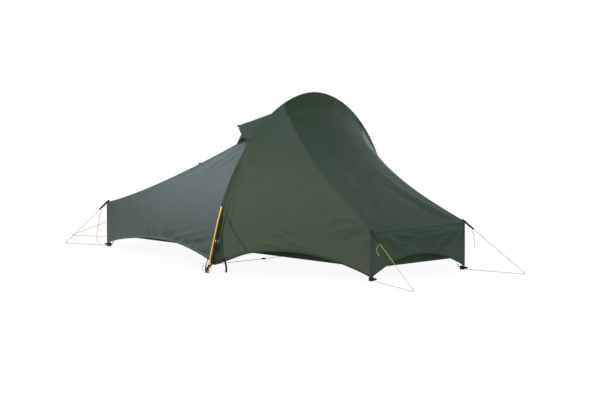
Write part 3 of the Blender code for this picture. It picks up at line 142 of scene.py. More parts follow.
# Painted highlight on the far ridge: where it starts and ends along the ridge, its width and its two
# long edges
RIDGE_HIGHLIGHT_SPAN = (0.06, 0.4)
RIDGE_HIGHLIGHT_WIDTH = 0.11
RIDGE_HIGHLIGHT_INNER = 0.996
RIDGE_HIGHLIGHT_OUTER = 0.999

# Pole sleeve and the flap that covers the zip; a hem's places are its reach and its lift
SLEEVE_RADIUS = 0.0067
SLEEVE_TO_CLOTH = 0.0014
SLEEVE_START_HEIGHT = 0.375
SLEEVE_BACK_TURN = -2.05
CREST_TURN = 0.4
SLEEVE_STEPS = 220
SLEEVE_HEM = ((0.013, 0.001), (0.009, 0.0011))
PUCKER_WAVE = 0.00035
PUCKER_SLACK = 0.0005
MOUTH_OVER_SLEEVE = 0.0016
FLAP_WIDTH = 0.12
FLAP_POWER = 1.6
FLAP_SHARES = (0.12, 0.22, 0.34, 0.46, 0.58, 0.7, 0.8, 0.9, 1.0)
FLAP_LIFT = 0.0008
FLAP_EDGE_LIFT = -0.0012
FLAP_FADE_FAR = 0.25
FLAP_FADE_NEAR = 0.1
ZIP_FLAP_WIDTH = 0.022
ZIP_CLEAR_HEIGHT = 0.58

# Pleats, dart, spare webbing and peg loops at the foot of the door
PLEAT_TOP = 0.36
PLEAT_WIDTH = 0.095
PLEAT_DEPTH = 0.0058
PLEAT_COUNT = 4.2
DART_FOOT = 0.245
DART_TOP = 0.022
DART_HALF_WIDTH = 0.0042
EDGE_STRAP_TOP = 0.235
TAIL_REACH = 0.094
TAIL_SEWN = 0.012
TAIL_LENGTH = 0.065
TAIL_SWING = 0.01
TAIL_WIDTH = 0.0125
TAPE_THICKNESS = 0.0014
LOOP_REACH = 0.036
LOOP_RISE = 0.036
LOOP_CORD = 0.0028

# Corners; a foot strap's route is its places along the hem, each with its lift off the cloth
WEBBING_WIDTH = 0.012
BUCKLE_LENGTH = 0.022
BUCKLE_HEIGHT = 0.012
FOOT_HEIGHT = 0.022
FOOT_SIZE = 0.022
STRUT_INSET = 0.009
CAP_DIAMETER = 0.0125
TAB_WIDTH = 0.0115
TAB_THICKNESS = 0.002
TAB_SEWN = 0.022
STRAP_SAG = 0.0015
STRAP_UNDER_SEAM = 0.0012
STRAP_STEPS = 16
FOOT_WEBBING_WIDTH = 0.016
FOOT_WEBBING_THICKNESS = 0.01
FOOT_WEBBING_HEIGHT = 0.0075
FOOT_STRAP_ROUTE = ((0.022, 0.008), (0.055, 0.004), (0.09, 0.003))

# Inner tent
TUB_MARGIN = 0.035
TUB_SEAM_HEIGHT = 0.068
TUB_SAG = 0.008
TUB_WALL_TOP = 0.15
TUB_LEAN = 0.006
INNER_HEIGHT = 0.93
INNER_HALF_WIDTH = 0.33
INNER_EXPONENT = 2.3
INNER_END_HEIGHT = 0.235
INNER_GAP = 0.0006
INNER_SIDE_SHARE = 0.17
INNER_ROOF_POWER = 1.12
INNER_LEFT_POWER = 1.6
TUB_STEPS = (60, 24)
TUB_WALL_STEPS = 3
TUB_SLACK = 0.0035
TUB_WALL_SLACK = 0.0022
CANOPY_SLACK = 0.003
END_SLACK = 0.002

# Seams and hems; a hem's profile has its heights on the panel, lifts off it and drops
SEAM_LIFT = 0.0011
SEAM_THICKNESS = 0.0009
SEAM_REACH = 0.006
CORNER_SEAM_REACH = 0.005
SEAM_SHOULDER = 0.45
SEAM_FLATNESS = 0.25
HEM_STEPS = 70
HEM_CORD = 0.0026
HEM_CORD_DROP = 0.0022
HEM_TAPE = 0.0006
HEM_PROFILE = (
    (0.012, 0.001, 0.0), (0.006, 0.0011, 0.0), (0.0014, 0.0011, 0.0),
    (0.0, 0.0004, 0.0008), (0.0014, -0.001, 0.0), (0.01, -0.0011, 0.0),
)

# Guylines: real lengths run from the corner's foot round the peg to the hanging end, and a
# tail is the route of that end below its lock
GUYLINE_DIAMETER = 0.0028
PEG_DIAMETER = 0.004
PEG_LINE_HEIGHT = 0.009
LINE_AT_FOOT = 0.004
LINE_BEND = 1.9
LOCK_LENGTH = 0.02
LOCK_HEIGHT = 0.006
LOCK_SLOT = 0.009
LOCK_SLOT_PLACE = 0.0025
CORNERS = {"left_near": (-1, -1), "right_near": (1, -1), "right_far": (1, 1), "left_far": (-1, 1)}
PEG_PLACES = {
    "left_near": Vector((-1.467, -0.387, 0.0)),
    "right_near": Vector((1.66, -0.566, 0.0)),
    "right_far": Vector((1.59, 0.446, 0.0)),
    "left_far": Vector((-1.8, -0.06, 0.0)),
}
LOCK_DISTANCES = {"left_near": 0.062, "right_near": 0.112, "right_far": 0.062, "left_far": 0.062}
GUYLINE_LENGTHS = {"left_near": 0.896, "right_near": 1.054, "right_far": 0.954, "left_far": 1.524}
TAIL_ROUTES = {
    "left_near": (
        (0.0, 0.0, 0.0), (-0.004, -0.001, -0.014), (-0.012, -0.003, -0.036),
        (-0.019, -0.005, -0.068), (-0.024, -0.007, -0.104), (-0.03, -0.008, -0.14),
        (-0.036, -0.008, -0.174), (-0.036, -0.006, -0.198), (-0.026, -0.001, -0.2155),
        (-0.01, 0.006, -0.221),
    ),
    "right_near": (
        (0.0, 0.0, 0.0), (-0.004, -0.002, -0.01), (-0.011, -0.005, -0.022),
        (-0.012, -0.006, -0.036), (-0.004, -0.005, -0.05), (0.004, -0.004, -0.066),
    ),
    "right_far": (
        (0.0, 0.0, 0.0), (0.006, 0.002, -0.01), (0.012, 0.004, -0.028),
        (0.013, 0.005, -0.052), (0.016, 0.006, -0.078), (0.019, 0.006, -0.104),
    ),
    "left_far": (
        (0.0, 0.0, 0.0), (-0.005, 0.001, -0.012), (-0.01, 0.003, -0.034),
        (-0.011, 0.004, -0.062), (-0.015, 0.005, -0.09), (-0.017, 0.005, -0.118),
    ),
}

# Materials: threads and ribs in radians to a metre; a stitch's length is its share of the pitch
# and its half width a share of the tape's width
THREAD_WAVE = 5200.0
RIB_WAVE = 2600.0
BRAID_PITCH = 0.0035
RIPSTOP_GRID = 0.006
STITCH_PITCH = 0.005
STITCH_ROWS = (0.25, 0.75)
STITCH_LENGTH = 0.68
STITCH_HALF_WIDTH = 0.055
DUST = (0.24, 0.22, 0.18, 1.0)
SHEEN_TINT = (0.75, 0.82, 0.85, 1.0)

# Hardware that keeps its CAD shape, by how its nodes' names start, and its material
HARDWARE = {
    "corner_foot_": "plastic", "strut_": "rod", "floor_buckle_": "plastic", "line_lock_": "plastic",
    "peg_left": "metal", "peg_right": "metal", "cross_strap_adjuster": "plastic",
    "cross_strap": "tape", "door_ring": "metal", "door_strap": "tape", "door_zip": "teeth",
    "zip_slider": "plastic", "zip_pull": "tape", "hem_webbing": "tape", "pole_foot": "plastic",
    "pole_shock_cord": "elastic", "ridge_toggle": "plastic",
}

# Stage: lamps with their place, size and power; the floor's shadow fades out away from the tent
LAMPS = (
    ("key", (-1.4, -6.2, 4.4), 2.4, 270.0),
    ("top", (0.4, 0.6, 5.0), 4.0, 60.0),
    ("side", (4.5, 1.5, 3.6), 1.6, 62.0),
)
LAMP_AIM = Vector((0.1, 0.0, 0.35))
FLOOR_SIZE = 60.0
SHADOW_NEAR = 1.8
SHADOW_FAR = 4.5
PAPER_SHARE = 0.93
PAPER_GLOW = 1.01
SKY = (0.96, 0.98, 1.0, 1.0)
SKY_POWER = 0.5
WHITE = (1.0, 1.0, 1.0, 1.0)
CAMERA_PLACE = (10.2833, -9.9763, 1.6725)
CAMERA_LENS = 144.2
CAMERA_DOWN = 0.0921
CAMERA_TURN = 0.7889


# Small helpers


def lerp(a, b, share):
    return a + (b - a) * share


def clamp(value):
    return min(max(value, 0.0), 1.0)


def smooth(value):
    value = clamp(value)
    return value * value * (3 - 2 * value)


def grid(count_u, count_v, spot):
    """Rows of points: one for each share along and across."""
    return [[spot(i / count_u, j / count_v) for j in range(count_v + 1)]
            for i in range(count_u + 1)]


def lengths_along(points):
    """Length of a route up to each of its points."""
    runs = [0.0]
    for a, b in zip(points, points[1:]):
        runs.append(runs[-1] + (b - a).length)
    return runs


# Curves that the cloth hangs on


def arch_angle(height, far=False):
    """Angle round the hoop at which it stands at a height."""
    angle = asin((height / POLE_HEIGHT) ** (POLE_EXPONENT / 2))
    return pi - angle if far else angle


def hoop_curve(angle, half_span=POLE_SPAN / 2, top=POLE_HEIGHT, power=POLE_EXPONENT):
    """Point on a leaning arch: angle 0 is the door side, pi the far side."""
    across = -cos(angle)
    y = half_span * (1 if across > 0 else -1) * abs(across) ** (2 / power)
    z = top * max(sin(angle), 0.0) ** (2 / power)
    return Vector((POLE_X + POLE_LEAN * z, y, z))


LEAN = Vector((1.0, 0.0, -POLE_LEAN)).normalized()
KNEE = hoop_curve(arch_angle(STRAIGHT_LEG))
LEG_SLOPE = (hoop_curve(arch_angle(STRAIGHT_LEG + SLOPE_STEP)).y - KNEE.y) / SLOPE_STEP


def arch_point(angle):
    """Point on the pole's line: the arch, with straight legs below its curve."""
    point = hoop_curve(angle)
    if point.z < STRAIGHT_LEG:
        spread = LEG_SLOPE * (STRAIGHT_LEG - point.z) - KNEE.y
        point.y = spread if point.y > 0 else -spread
    return point


def leg_point(far, height):
    """Point on a straight leg's own line, down to the ground."""
    low = arch_point(arch_angle(POLE_SEAT, far))
    slope = -LEG_SLOPE if far else LEG_SLOPE
    return low + Vector((POLE_LEAN, slope, 1.0)) * (height - low.z)


def arch_out(angle):
    """Outward direction in the hoop's own plane."""
    first = arch_point(max(angle - SLOPE_STEP, 0.0001))
    last = arch_point(min(angle + SLOPE_STEP, pi - 0.0001))
    return LEAN.cross((last - first).normalized()).normalized()


def round_pole(angle, reach, turn):
    """Point round the pole: turn 0 is the crest, and it grows towards the head end."""
    return arch_point(angle) + arch_out(angle) * (reach * cos(turn)) + LEAN * (reach * sin(turn))


def under_sleeve(angle):
    """Where the fly's cloth lies under the pole sleeve."""
    return arch_point(angle) - arch_out(angle) * (SLEEVE_RADIUS + SLEEVE_TO_CLOTH + FABRIC)


def fabric_arch(angle, side):
    """Edge of the cloth under the pole sleeve, on the left (-1) or right (1) of the seam."""
    edge = under_sleeve(angle)
    edge.x += side * GAP
    if side < 0 and VENT_FIRST_ANGLE < angle < VENT_LAST_ANGLE:
        share = (angle - VENT_FIRST_ANGLE) / (VENT_LAST_ANGLE - VENT_FIRST_ANGLE)
        edge += Vector((-1.0, 0.0, -VENT_DROP)) * (VENT_DEPTH * sin(pi * share) ** 2)
    return edge


def end_keys(side):
    """The near and the far corner at one end."""
    return f"{WORDS[side]}_near", f"{WORDS[side]}_far"


def corner_plan(key, inset=0.0):
    """Corner on the ground, drawn in from both sides by an inset."""
    side_x, side_y = CORNERS[key]
    width = HEAD_END_WIDTH if side_x > 0 else FOOT_END_WIDTH
    corner = Vector((side_x * END_SPACING / 2, side_y * width / 2, 0.0))
    return corner - Vector((side_x * inset, side_y * inset, 0.0))


def corner_line(key, share):
    """Upright edge of the cloth at a corner, from its hem to its top."""
    low = FOOT_HEIGHT + GAP * 2
    return corner_plan(key) + UP * lerp(low, STRUT_TOP, share)


def seam_curve(start, end, power, bow, share):
    """A seam from the hoop down to a corner: straight in plan but for its bow."""
    plan = (end - start).to_2d()
    normal = Vector((plan.y, -plan.x)).normalized()
    point = lerp(start, end, share)
    point.z = end.z + (start.z - end.z) * (1 - share) ** power
    offset = bow * 4 * share * (1 - share)
    return point + Vector((normal.x, normal.y, 0.0)) * offset


def hem_curve(start, end, rise, share):
    point = lerp(start, end, share)
    point.z += rise * 4 * share * (1 - share)
    return point


def coons(bottom, top, first, last, u, v):
    """Surface patch between four edge curves."""
    ruled_up = lerp(bottom(u), top(u), v)
    ruled_along = lerp(first(v), last(v), u)
    corners = lerp(lerp(bottom(0), bottom(1), u), lerp(top(0), top(1), u), v)
    return ruled_up + ruled_along - corners


def top_angle(side, far):
    """Angle on the hoop where the seam above a wall starts."""
    if far:
        return FAR_SEAM_ANGLE if side > 0 else pi - LEFT_SEAM_ANGLE
    return DOOR_SEAM_ANGLE if side > 0 else LEFT_SEAM_ANGLE


def hem_angle(side, far):
    return arch_angle(HEM_AT_POLE_RIGHT if side > 0 else HEM_AT_POLE_LEFT, far)


def seam(side, far, share):
    """Seam between a wall and the roof."""
    if side > 0:
        power = FAR_SEAM_POWER if far else DOOR_SEAM_POWER
        bow = FAR_SEAM_BOW if far else DOOR_SEAM_BOW
    else:
        power = LEFT_SEAM_POWER
        bow = -LEFT_SEAM_BOW if far else LEFT_SEAM_BOW
    start = fabric_arch(top_angle(side, far), side)
    return seam_curve(start, corner_line(end_keys(side)[far], 1), power, bow, share)


def roof_end_edge(side, share):
    near, far = end_keys(side)
    point = lerp(corner_line(near, 1), corner_line(far, 1), share)
    return point - UP * (ROOF_EDGE_SAG * 4 * share * (1 - share))


def wall_point(side, far, u, v):
    key = end_keys(side)[far]
    rise = RIGHT_HEM_RISE if side > 0 else LEFT_HEM_RISE
    low, high = hem_angle(side, far), top_angle(side, far)
    point = coons(
        lambda s: hem_curve(fabric_arch(low, side), corner_line(key, 0), rise, s),
        lambda s: seam(side, far, s),
        lambda s: fabric_arch(lerp(low, high, s), side),
        lambda s: corner_line(key, s),
        u, v)
    inward = -1 if far else 1
    point.y += inward * WALL_BOW * 16 * u * (1 - u) * v * (1 - v)
    if side > 0:
        reach = smooth(u / DIP_START) * smooth((DIP_END - u) / DIP_FADE)
        point.z -= DOOR_HEM_DIP * reach * (1 - v) ** 3
    elif not far:
        reach = smooth((u - WALL_DIP_START) / WALL_DIP_RISE)
        reach *= smooth((WALL_DIP_END - u) / WALL_DIP_FADE)
        point.z -= WALL_HEM_DIP * reach * (1 - v) ** 4
    return point


def roof_point(side, u, v):
    near_top, far_top = top_angle(side, False), top_angle(side, True)
    point = coons(
        lambda s: seam(side, False, s),
        lambda s: seam(side, True, s),
        lambda s: fabric_arch(lerp(near_top, far_top, s), side),
        lambda s: roof_end_edge(side, s),
        u, v)
    if side < 0:
        place = u / DROOP_PLACE
        droop = ROOF_DROOP * (place * exp(1 - place)) ** DROOP_RISE * (1 - u)
        point.z -= droop * (4 * v * (1 - v)) ** DROOP_WIDTH
    return point


def end_point(side, u, v):
    near, far = end_keys(side)
    rise = HEAD_END_HEM_RISE if side > 0 else FOOT_END_HEM_RISE
    return coons(
        lambda s: hem_curve(corner_line(near, 0), corner_line(far, 0), rise, s),
        lambda s: roof_end_edge(side, s),
        lambda s: corner_line(near, s),
        lambda s: corner_line(far, s),
        u, v)


# Panels of the fly


class Cloth:
    """One panel of the fly, and the folds that its cloth takes between its seams.

    cut is its flat width, length and area before it was sewn in. hold is how far from its start,
    end, foot and top the seams hold it. A fold has two places, a width and a height. A fan of
    folds has its centre, first and last angle, number, near and far reach and height. A ripple
    has its height, and its number to a metre along and up.
    """

    def __init__(self, surface, outward, cloth, cut, steps, ripple, hold, folds=(), fans=()):
        self.surface, self.outward = surface, Vector(outward)
        self.cloth, self.cut, self.steps = cloth, cut, steps
        self.ripple, self.hold, self.folds, self.fans = ripple, hold, folds, fans
        self.long = lengths_along([surface(i / 8, 0.5) for i in range(9)])[-1]
        self.high = lengths_along([surface(0.5, i / 8) for i in range(9)])[-1]

    def facing(self, along, up):
        """Direction square to two others, on the side that faces out."""
        out = along.cross(up).normalized()
        return out if out.dot(self.outward) > 0 else -out

    def normal(self, u, v):
        step = 0.004
        return self.facing(
            self.surface(clamp(u + step), v) - self.surface(clamp(u - step), v),
            self.surface(u, clamp(v + step)) - self.surface(u, clamp(v - step)))

    def shift(self, u, v):
        """Height of the folds over the taut surface, nothing where a seam holds the cloth."""
        x, y = u * self.long, v * self.high
        total = 0.0
        for u0, v0, u1, v1, width, height in self.folds:
            ax, ay = u0 * self.long, v0 * self.high
            bx, by = (u1 - u0) * self.long, (v1 - v0) * self.high
            reach = sqrt(bx * bx + by * by)
            along = ((x - ax) * bx + (y - ay) * by) / (reach * reach)
            off = ((x - ax) * by - (y - ay) * bx) / (reach * width)
            if not -0.1 < along < 1.1 or abs(off) > 3.5:
                continue
            taper = smooth((along + 0.1) / 0.3) * smooth((1.1 - along) / 0.6)
            total += height * taper * (1 - 0.55 * off) * exp(-off * off)
        for u0, v0, first, last, count, near, far, height in self.fans:
            dx, dy = x - u0 * self.long, y - v0 * self.high
            reach = sqrt(dx * dx + dy * dy)
            share = (atan2(dy, dx) - first) / (last - first)
            if reach > far or not 0 < share < 1:
                continue
            wave = sin(2 * pi * count * share + 1.3 * sin(5 * share) + 0.6)
            crest = wave * (0.55 + 0.45 * wave)
            inner = smooth((reach - near * 0.3) / near)
            outer = smooth((far - reach) / (far * 0.75))
            total += height * crest * inner * outer * smooth(share * 4) * smooth((1 - share) * 4)
        height, across, upward = self.ripple
        total += height * noise.noise(Vector((x * across, y * upward, self.long * 3.7)))
        total += 0.35 * height * noise.noise(Vector((x * across * 3, y * upward * 3, 9.1)))
        left, right, low, high = self.hold
        held = smooth(x / left) * smooth((self.long - x) / right)
        return total * held * smooth(y / low) * smooth((self.high - y) / high)

    def at(self, u, v, lift=0.0):
        """Point on the folded cloth, or at a distance over it."""
        return self.surface(u, v) + self.normal(u, v) * (self.shift(u, v) + lift)

    def edge(self, name):
        """Its points by share along an edge and by distance in from it."""
        def spot(share, reach):
            u, v = reach / self.long, reach / self.high
            places = {"top": (share, 1 - v), "foot": (share, v),
                      "end": (1 - u, share), "start": (u, share)}
            return self.at(*places[name], SEAM_LIFT)
        return spot

    def rows(self):
        """Grid of points on the folded cloth, drawn in from its seams by their clearance."""
        count_u, count_v = self.steps
        edge_u, edge_v = GAP / self.long, GAP / self.high
        flat = grid(count_u, count_v, lambda u, v: self.surface(
            lerp(edge_u, 1 - edge_u, u), lerp(edge_v, 1 - edge_v, v)))
        result = []
        for i in range(count_u + 1):
            before, here, after = flat[max(i - 1, 0)], flat[i], flat[min(i + 1, count_u)]
            row = []
            for j in range(count_v + 1):
                up = here[min(j + 1, count_v)] - here[max(j - 1, 0)]
                out = self.facing(after[j] - before[j], up)
                row.append(here[j] + out * self.shift(i / count_u, j / count_v))
            result.append(row)
        return result


NEAR_SIDE, FAR_SIDE = (0.0, -1.0, 0.0), (0.0, 1.0, 0.0)
PANELS = {
    "wall_near_left": Cloth(
        partial(wall_point, -1, False), NEAR_SIDE, "wall", cut=(0.86, 1.56, 0.7), steps=(170, 116),
        ripple=(0.004, 1.6, 4.0), hold=(0.02, 0.05, 0.012, 0.03),
        folds=(
            (0.03, 0.84, 0.22, 0.762, 0.012, 0.006), (0.04, 0.888, 0.17, 0.858, 0.011, -0.0055),
            (0.12, 0.876, 0.32, 0.81, 0.013, 0.005), (0.586, 0.028, 0.641, 0.19, 0.009, 0.0075),
            (0.551, 0.06, 0.595, 0.19, 0.009, 0.007), (0.513, 0.027, 0.553, 0.12, 0.009, 0.007),
            (0.472, 0.05, 0.45, 0.175, 0.008, 0.0055), (0.45, 0.04, 0.396, 0.17, 0.009, 0.0085),
            (0.42, 0.035, 0.35, 0.17, 0.009, 0.011), (0.385, 0.012, 0.06, 0.214, 0.012, 0.021),
            (0.335, 0.03, 0.08, 0.146, 0.01, -0.013), (0.283, 0.036, 0.035, 0.172, 0.012, 0.021),
            (0.24, 0.03, 0.04, 0.128, 0.01, -0.012), (0.2, 0.03, 0.03, 0.1, 0.011, 0.02),
            (0.12, 0.026, 0.025, 0.064, 0.011, 0.017),
        )),
    "door_near": Cloth(
        partial(wall_point, 1, False), NEAR_SIDE, "door", cut=(0.97, 1.13, 0.7), steps=(120, 90),
        ripple=(0.005, 2.2, 2.6), hold=(0.03, 0.04, 0.014, 0.03),
        folds=(
            (0.4, 0.152, 0.6, 0.078, 0.012, 0.012), (0.445, 0.098, 0.68, 0.036, 0.011, 0.0105),
            (0.3, 0.066, 0.56, 0.03, 0.01, 0.009), (0.4, 0.21, 0.6, 0.15, 0.018, 0.005),
            (0.02, 0.98, 0.08, 0.1, 0.016, 0.006), (0.06, 0.5, 0.1, 0.06, 0.014, -0.005),
            (0.52, 0.84, 0.4, 0.8, 0.012, 0.0035), (0.6, 0.8, 0.46, 0.75, 0.013, 0.0035),
            (0.68, 0.76, 0.52, 0.7, 0.013, 0.004), (0.75, 0.72, 0.56, 0.63, 0.015, 0.0045),
            (0.82, 0.66, 0.62, 0.55, 0.015, 0.0045), (0.97, 0.93, 0.7, 0.25, 0.02, 0.0065),
            (0.96, 0.8, 0.78, 0.21, 0.017, -0.006), (0.93, 0.96, 0.66, 0.36, 0.02, 0.006),
            (0.985, 0.72, 0.88, 0.16, 0.014, 0.005),
        )),
    "wall_far_left": Cloth(
        partial(wall_point, -1, True), FAR_SIDE, "roof", cut=(0.86, 1.56, 0.7), steps=(100, 50),
        ripple=(0.004, 1.6, 4.0), hold=(0.04, 0.05, 0.012, 0.03),
        fans=((0.42, -0.35, 0.35, 2.75, 11, 0.2, 0.5, 0.0045),),
        folds=((0.02, 0.92, 0.3, 0.82, 0.016, 0.004),)),
    "wall_far_right": Cloth(
        partial(wall_point, 1, True), FAR_SIDE, "wall", cut=(0.86, 1.2, 0.6), steps=(90, 60),
        ripple=(0.005, 2.2, 2.6), hold=(0.03, 0.04, 0.014, 0.03),
        fans=((1.02, 1.02, -2.9, -1.7, 5, 0.1, 0.75, 0.0045),),
        folds=(
            (0.32, 0.06, 0.52, 0.16, 0.02, 0.0055), (0.38, 0.16, 0.6, 0.26, 0.02, -0.0045),
            (0.05, 0.6, 0.09, 0.06, 0.014, 0.005),
        )),
    "roof_left": Cloth(
        partial(roof_point, -1), (-0.35, 0.0, 0.94), "roof", cut=(0.86, 1.72, 1.1), steps=(100, 64),
        ripple=(0.005, 1.4, 3.4), hold=(0.05, 0.05, 0.03, 0.03),
        fans=((1.02, -0.05, 1.75, 2.9, 4, 0.12, 0.7, 0.0035),
              (1.02, 1.05, -2.9, -1.75, 4, 0.12, 0.7, 0.0035))),
    "roof_right": Cloth(
        partial(roof_point, 1), (0.5, 0.0, 0.87), "roof", cut=(0.9, 1.3, 0.95), steps=(110, 84),
        ripple=(0.006, 1.5, 2.6), hold=(0.05, 0.05, 0.03, 0.03),
        folds=(
            (0.97, 0.04, 0.55, 0.34, 0.03, 0.005), (0.96, 0.913, 0.79, 0.82, 0.014, 0.006),
            (0.975, 0.86, 0.84, 0.72, 0.012, -0.005), (0.986, 0.11, 0.83, 0.193, 0.013, 0.0055),
            (0.985, 0.142, 0.812, 0.326, 0.014, -0.005), (0.97, 0.1, 0.62, 0.52, 0.026, -0.0045),
            (0.97, 0.94, 0.52, 0.66, 0.034, 0.0055), (0.97, 0.88, 0.58, 0.5, 0.026, -0.0045),
            (0.1, 0.08, 0.2, 0.16, 0.01, 0.003), (0.14, 0.05, 0.26, 0.12, 0.01, -0.003),
        )),
    "end_left": Cloth(
        partial(end_point, -1), (-1.0, 0.0, 0.0), "end", cut=(0.27, 0.58, 0.125), steps=(64, 36),
        ripple=(0.004, 3.0, 3.0), hold=(0.02, 0.02, 0.012, 0.03),
        fans=((-0.03, 1.05, -1.35, -0.15, 4, 0.08, 0.42, 0.004),
              (1.03, 1.05, -3.0, -1.8, 4, 0.08, 0.42, 0.004))),
    "end_right": Cloth(
        partial(end_point, 1), (1.0, 0.0, 0.0), "end", cut=(0.27, 0.8, 0.155), steps=(120, 52),
        ripple=(0.004, 4.0, 4.0), hold=(0.02, 0.02, 0.012, 0.03),
        folds=(
            (0.957, 0.906, 0.69, 0.03, 0.012, 0.019), (0.89, 0.9, 0.56, 0.03, 0.012, 0.018),
            (0.76, 0.72, 0.58, 0.08, 0.009, 0.008), (0.96, 0.94, 0.48, 0.56, 0.013, 0.012),
            (0.9, 0.93, 0.24, 0.93, 0.012, 0.0085), (0.09, 0.94, 0.18, 0.03, 0.011, 0.006),
            (0.128, 0.862, 0.51, 0.06, 0.012, 0.019), (0.145, 0.72, 0.43, 0.05, 0.011, 0.013),
            (0.16, 0.93, 0.56, 0.56, 0.013, 0.012),
        )),
}


# Node trees and materials


class Nodes:
    """Builds a node tree; a socket given as a value is joined, anything else is set."""

    def __init__(self, tree):
        self.tree = tree

    def feed(self, socket, value):
        if isinstance(value, bpy.types.NodeSocket):
            self.tree.links.new(value, socket)
        else:
            socket.default_value = value

    def add(self, kind, sockets=None, **options):
        """Outputs of a new node."""
        made = self.tree.nodes.new(f"ShaderNode{kind}")
        for key, value in options.items():
            setattr(made, key, value)
        for key, value in (sockets or {}).items():
            self.feed(made.inputs[key], value)
        return made.outputs

    def math(self, operation, first, second=0.5):
        return self.add("Math", {0: first, 1: second}, operation=operation)[0]

    def ranged(self, value, low, high, first=0.0, last=1.0):
        """Maps a value between first and last onto a range."""
        return self.add("MapRange", {0: value, 1: first, 2: last, 3: low, 4: high})[0]

    def mix(self, factor, first, second, mode="MIX"):
        sockets = {0: factor, 6: first, 7: second}
        return self.add("Mix", sockets, data_type="RGBA", blend_type=mode)[2]

    def seen(self):
        """1 for rays that a viewer sees directly, mirrored or through something, 0 for light."""
        path = self.add("LightPath")
        straight = self.math("MAXIMUM", path["Is Camera Ray"], path["Is Glossy Ray"])
        return self.math("MAXIMUM", straight, path["Is Transmission Ray"])

    def finish(self, output, factor, first, second):
        """Ends the tree in a mix of two shaders."""
        both = self.add("MixShader", {0: factor, 1: first, 2: second})
        self.feed(self.tree.nodes[output].inputs[0], both[0])


class Look(Nodes):
    """A new material, its main shader and the patterns that it is built from."""

    def __init__(self, name):
        self.material = bpy.data.materials.new(name)
        self.material.use_nodes = True
        super().__init__(self.material.node_tree)
        self.shader = self.tree.nodes["Principled BSDF"]
        self.place = self.add("TexCoord")["Object"]

    def cloth_map(self):
        return self.add("UVMap", uv_map="cloth")[0]

    def split(self, vector):
        return self.add("SeparateXYZ", {0: vector})

    def noise(self, scale, detail, **more):
        sockets = {"Vector": self.place, "Scale": scale, "Detail": detail, **more}
        return self.add("TexNoise", sockets)[0]

    def wave(self, value, number):
        return self.math("SINE", self.math("MULTIPLY", value, number))

    def bump(self, *layers):
        """Normal from layers of a height and its distance, each on top of the one before."""
        below = {}
        for height, distance in layers:
            sockets = {"Height": height, "Distance": distance, "Strength": 1.0, **below}
            below = {"Normal": self.add("Bump", sockets)[0]}
        return below["Normal"]

    def painted(self, values):
        for key, value in values.items():
            self.feed(self.shader.inputs[key], value)
        return self.material


def tinted(colour, share=1.0):
    return (colour[0] * share, colour[1] * share, colour[2] * share, 1.0)


def nylon(name, colour, sheen=0.02, roughness=0.56, crinkle=0.0007, height_shading=None):
    """Coated ripstop nylon: fine weave, a grid of thicker threads, faint crinkles and patches.

    The last argument is painted light and shade by height: two heights, and the colour that the
    cloth fades to between them.
    """
    look = Look(name)
    cloth = look.cloth_map()
    broad, patch, grain = look.noise(2.3, 3.0), look.noise(14.0, 4.0), look.noise(700.0, 1.0)
    ripstop = look.add("TexBrick", {
        "Vector": cloth, "Scale": 1.0, "Mortar Size": 0.0004, "Mortar Smooth": 0.4,
        "Brick Width": RIPSTOP_GRID, "Row Height": RIPSTOP_GRID,
    }, offset=0.0)["Fac"]
    threads = look.split(cloth)
    warp, weft = look.wave(threads[0], THREAD_WAVE), look.wave(threads[1], THREAD_WAVE)
    weave = look.math("MULTIPLY", warp, weft)
    rise = look.split(look.place)[2]
    own = tinted(colour)
    # Painted light and shade: the cloth's colour fades to another between two heights.
    if height_shading:
        first, last, top = height_shading
        own = look.mix(look.ranged(rise, 0.0, 1.0, first, last), own, tinted(top))
    cloud = look.math("MULTIPLY", look.ranged(broad, 0.88, 1.12), look.ranged(patch, 1.02, 0.95))
    cloud = look.add("CombineXYZ", {0: cloud, 1: cloud, 2: cloud})[0]
    base = look.mix(1.0, own, cloud, "MULTIPLY")
    base = look.mix(look.math("MULTIPLY", ripstop, 0.3), base, tinted(colour, 1.35))
    base = look.mix(look.math("MULTIPLY", grain, 0.25), base, tinted(colour, 0.8))
    dust = look.math("MULTIPLY", look.ranged(rise, 0.16, 0.0, 0.02, 0.2), patch)
    crease = look.noise(38.0, 5.0, Roughness=0.55, Distortion=0.6)
    return look.painted({
        "Base Color": look.mix(dust, base, DUST),
        "Roughness": look.ranged(patch, roughness - 0.07, roughness + 0.09),
        "Normal": look.bump((crease, crinkle), (ripstop, 0.00015), (weave, 0.00004)),
        "Sheen Weight": sheen,
        "Sheen Roughness": 0.35,
        "Sheen Tint": SHEEN_TINT,
        "Specular IOR Level": 0.12,
    })


def stitched(name, colour):
    """Folded seam or tape with rows of stitches; its map is in metres along, 0 to 1 across."""
    look = Look(name)
    along, across = look.split(look.cloth_map())[:2]
    run = look.math("FRACT", look.math("DIVIDE", along, STITCH_PITCH))
    dash = look.math("LESS_THAN", run, STITCH_LENGTH)
    lines = []
    for row in STITCH_ROWS:
        off = look.math("ABSOLUTE", look.math("SUBTRACT", across, row))
        lines.append(look.math("LESS_THAN", off, STITCH_HALF_WIDTH))
    line = look.math("MAXIMUM", *lines)
    thread = look.math("MULTIPLY", dash, line)
    patch, pucker = look.noise(30.0, 4.0), look.noise(190.0, 2.0)
    base = look.mix(patch, tinted(colour, 0.82), tinted(colour, 1.12))
    return look.painted({
        "Base Color": look.mix(thread, base, tinted(colour, 1.35)),
        "Roughness": look.ranged(patch, 0.52, 0.7),
        "Normal": look.bump((pucker, 0.0006), (line, 0.0003), (thread, 0.0003)),
        "Sheen Weight": 0.05,
        "Specular IOR Level": 0.15,
    })


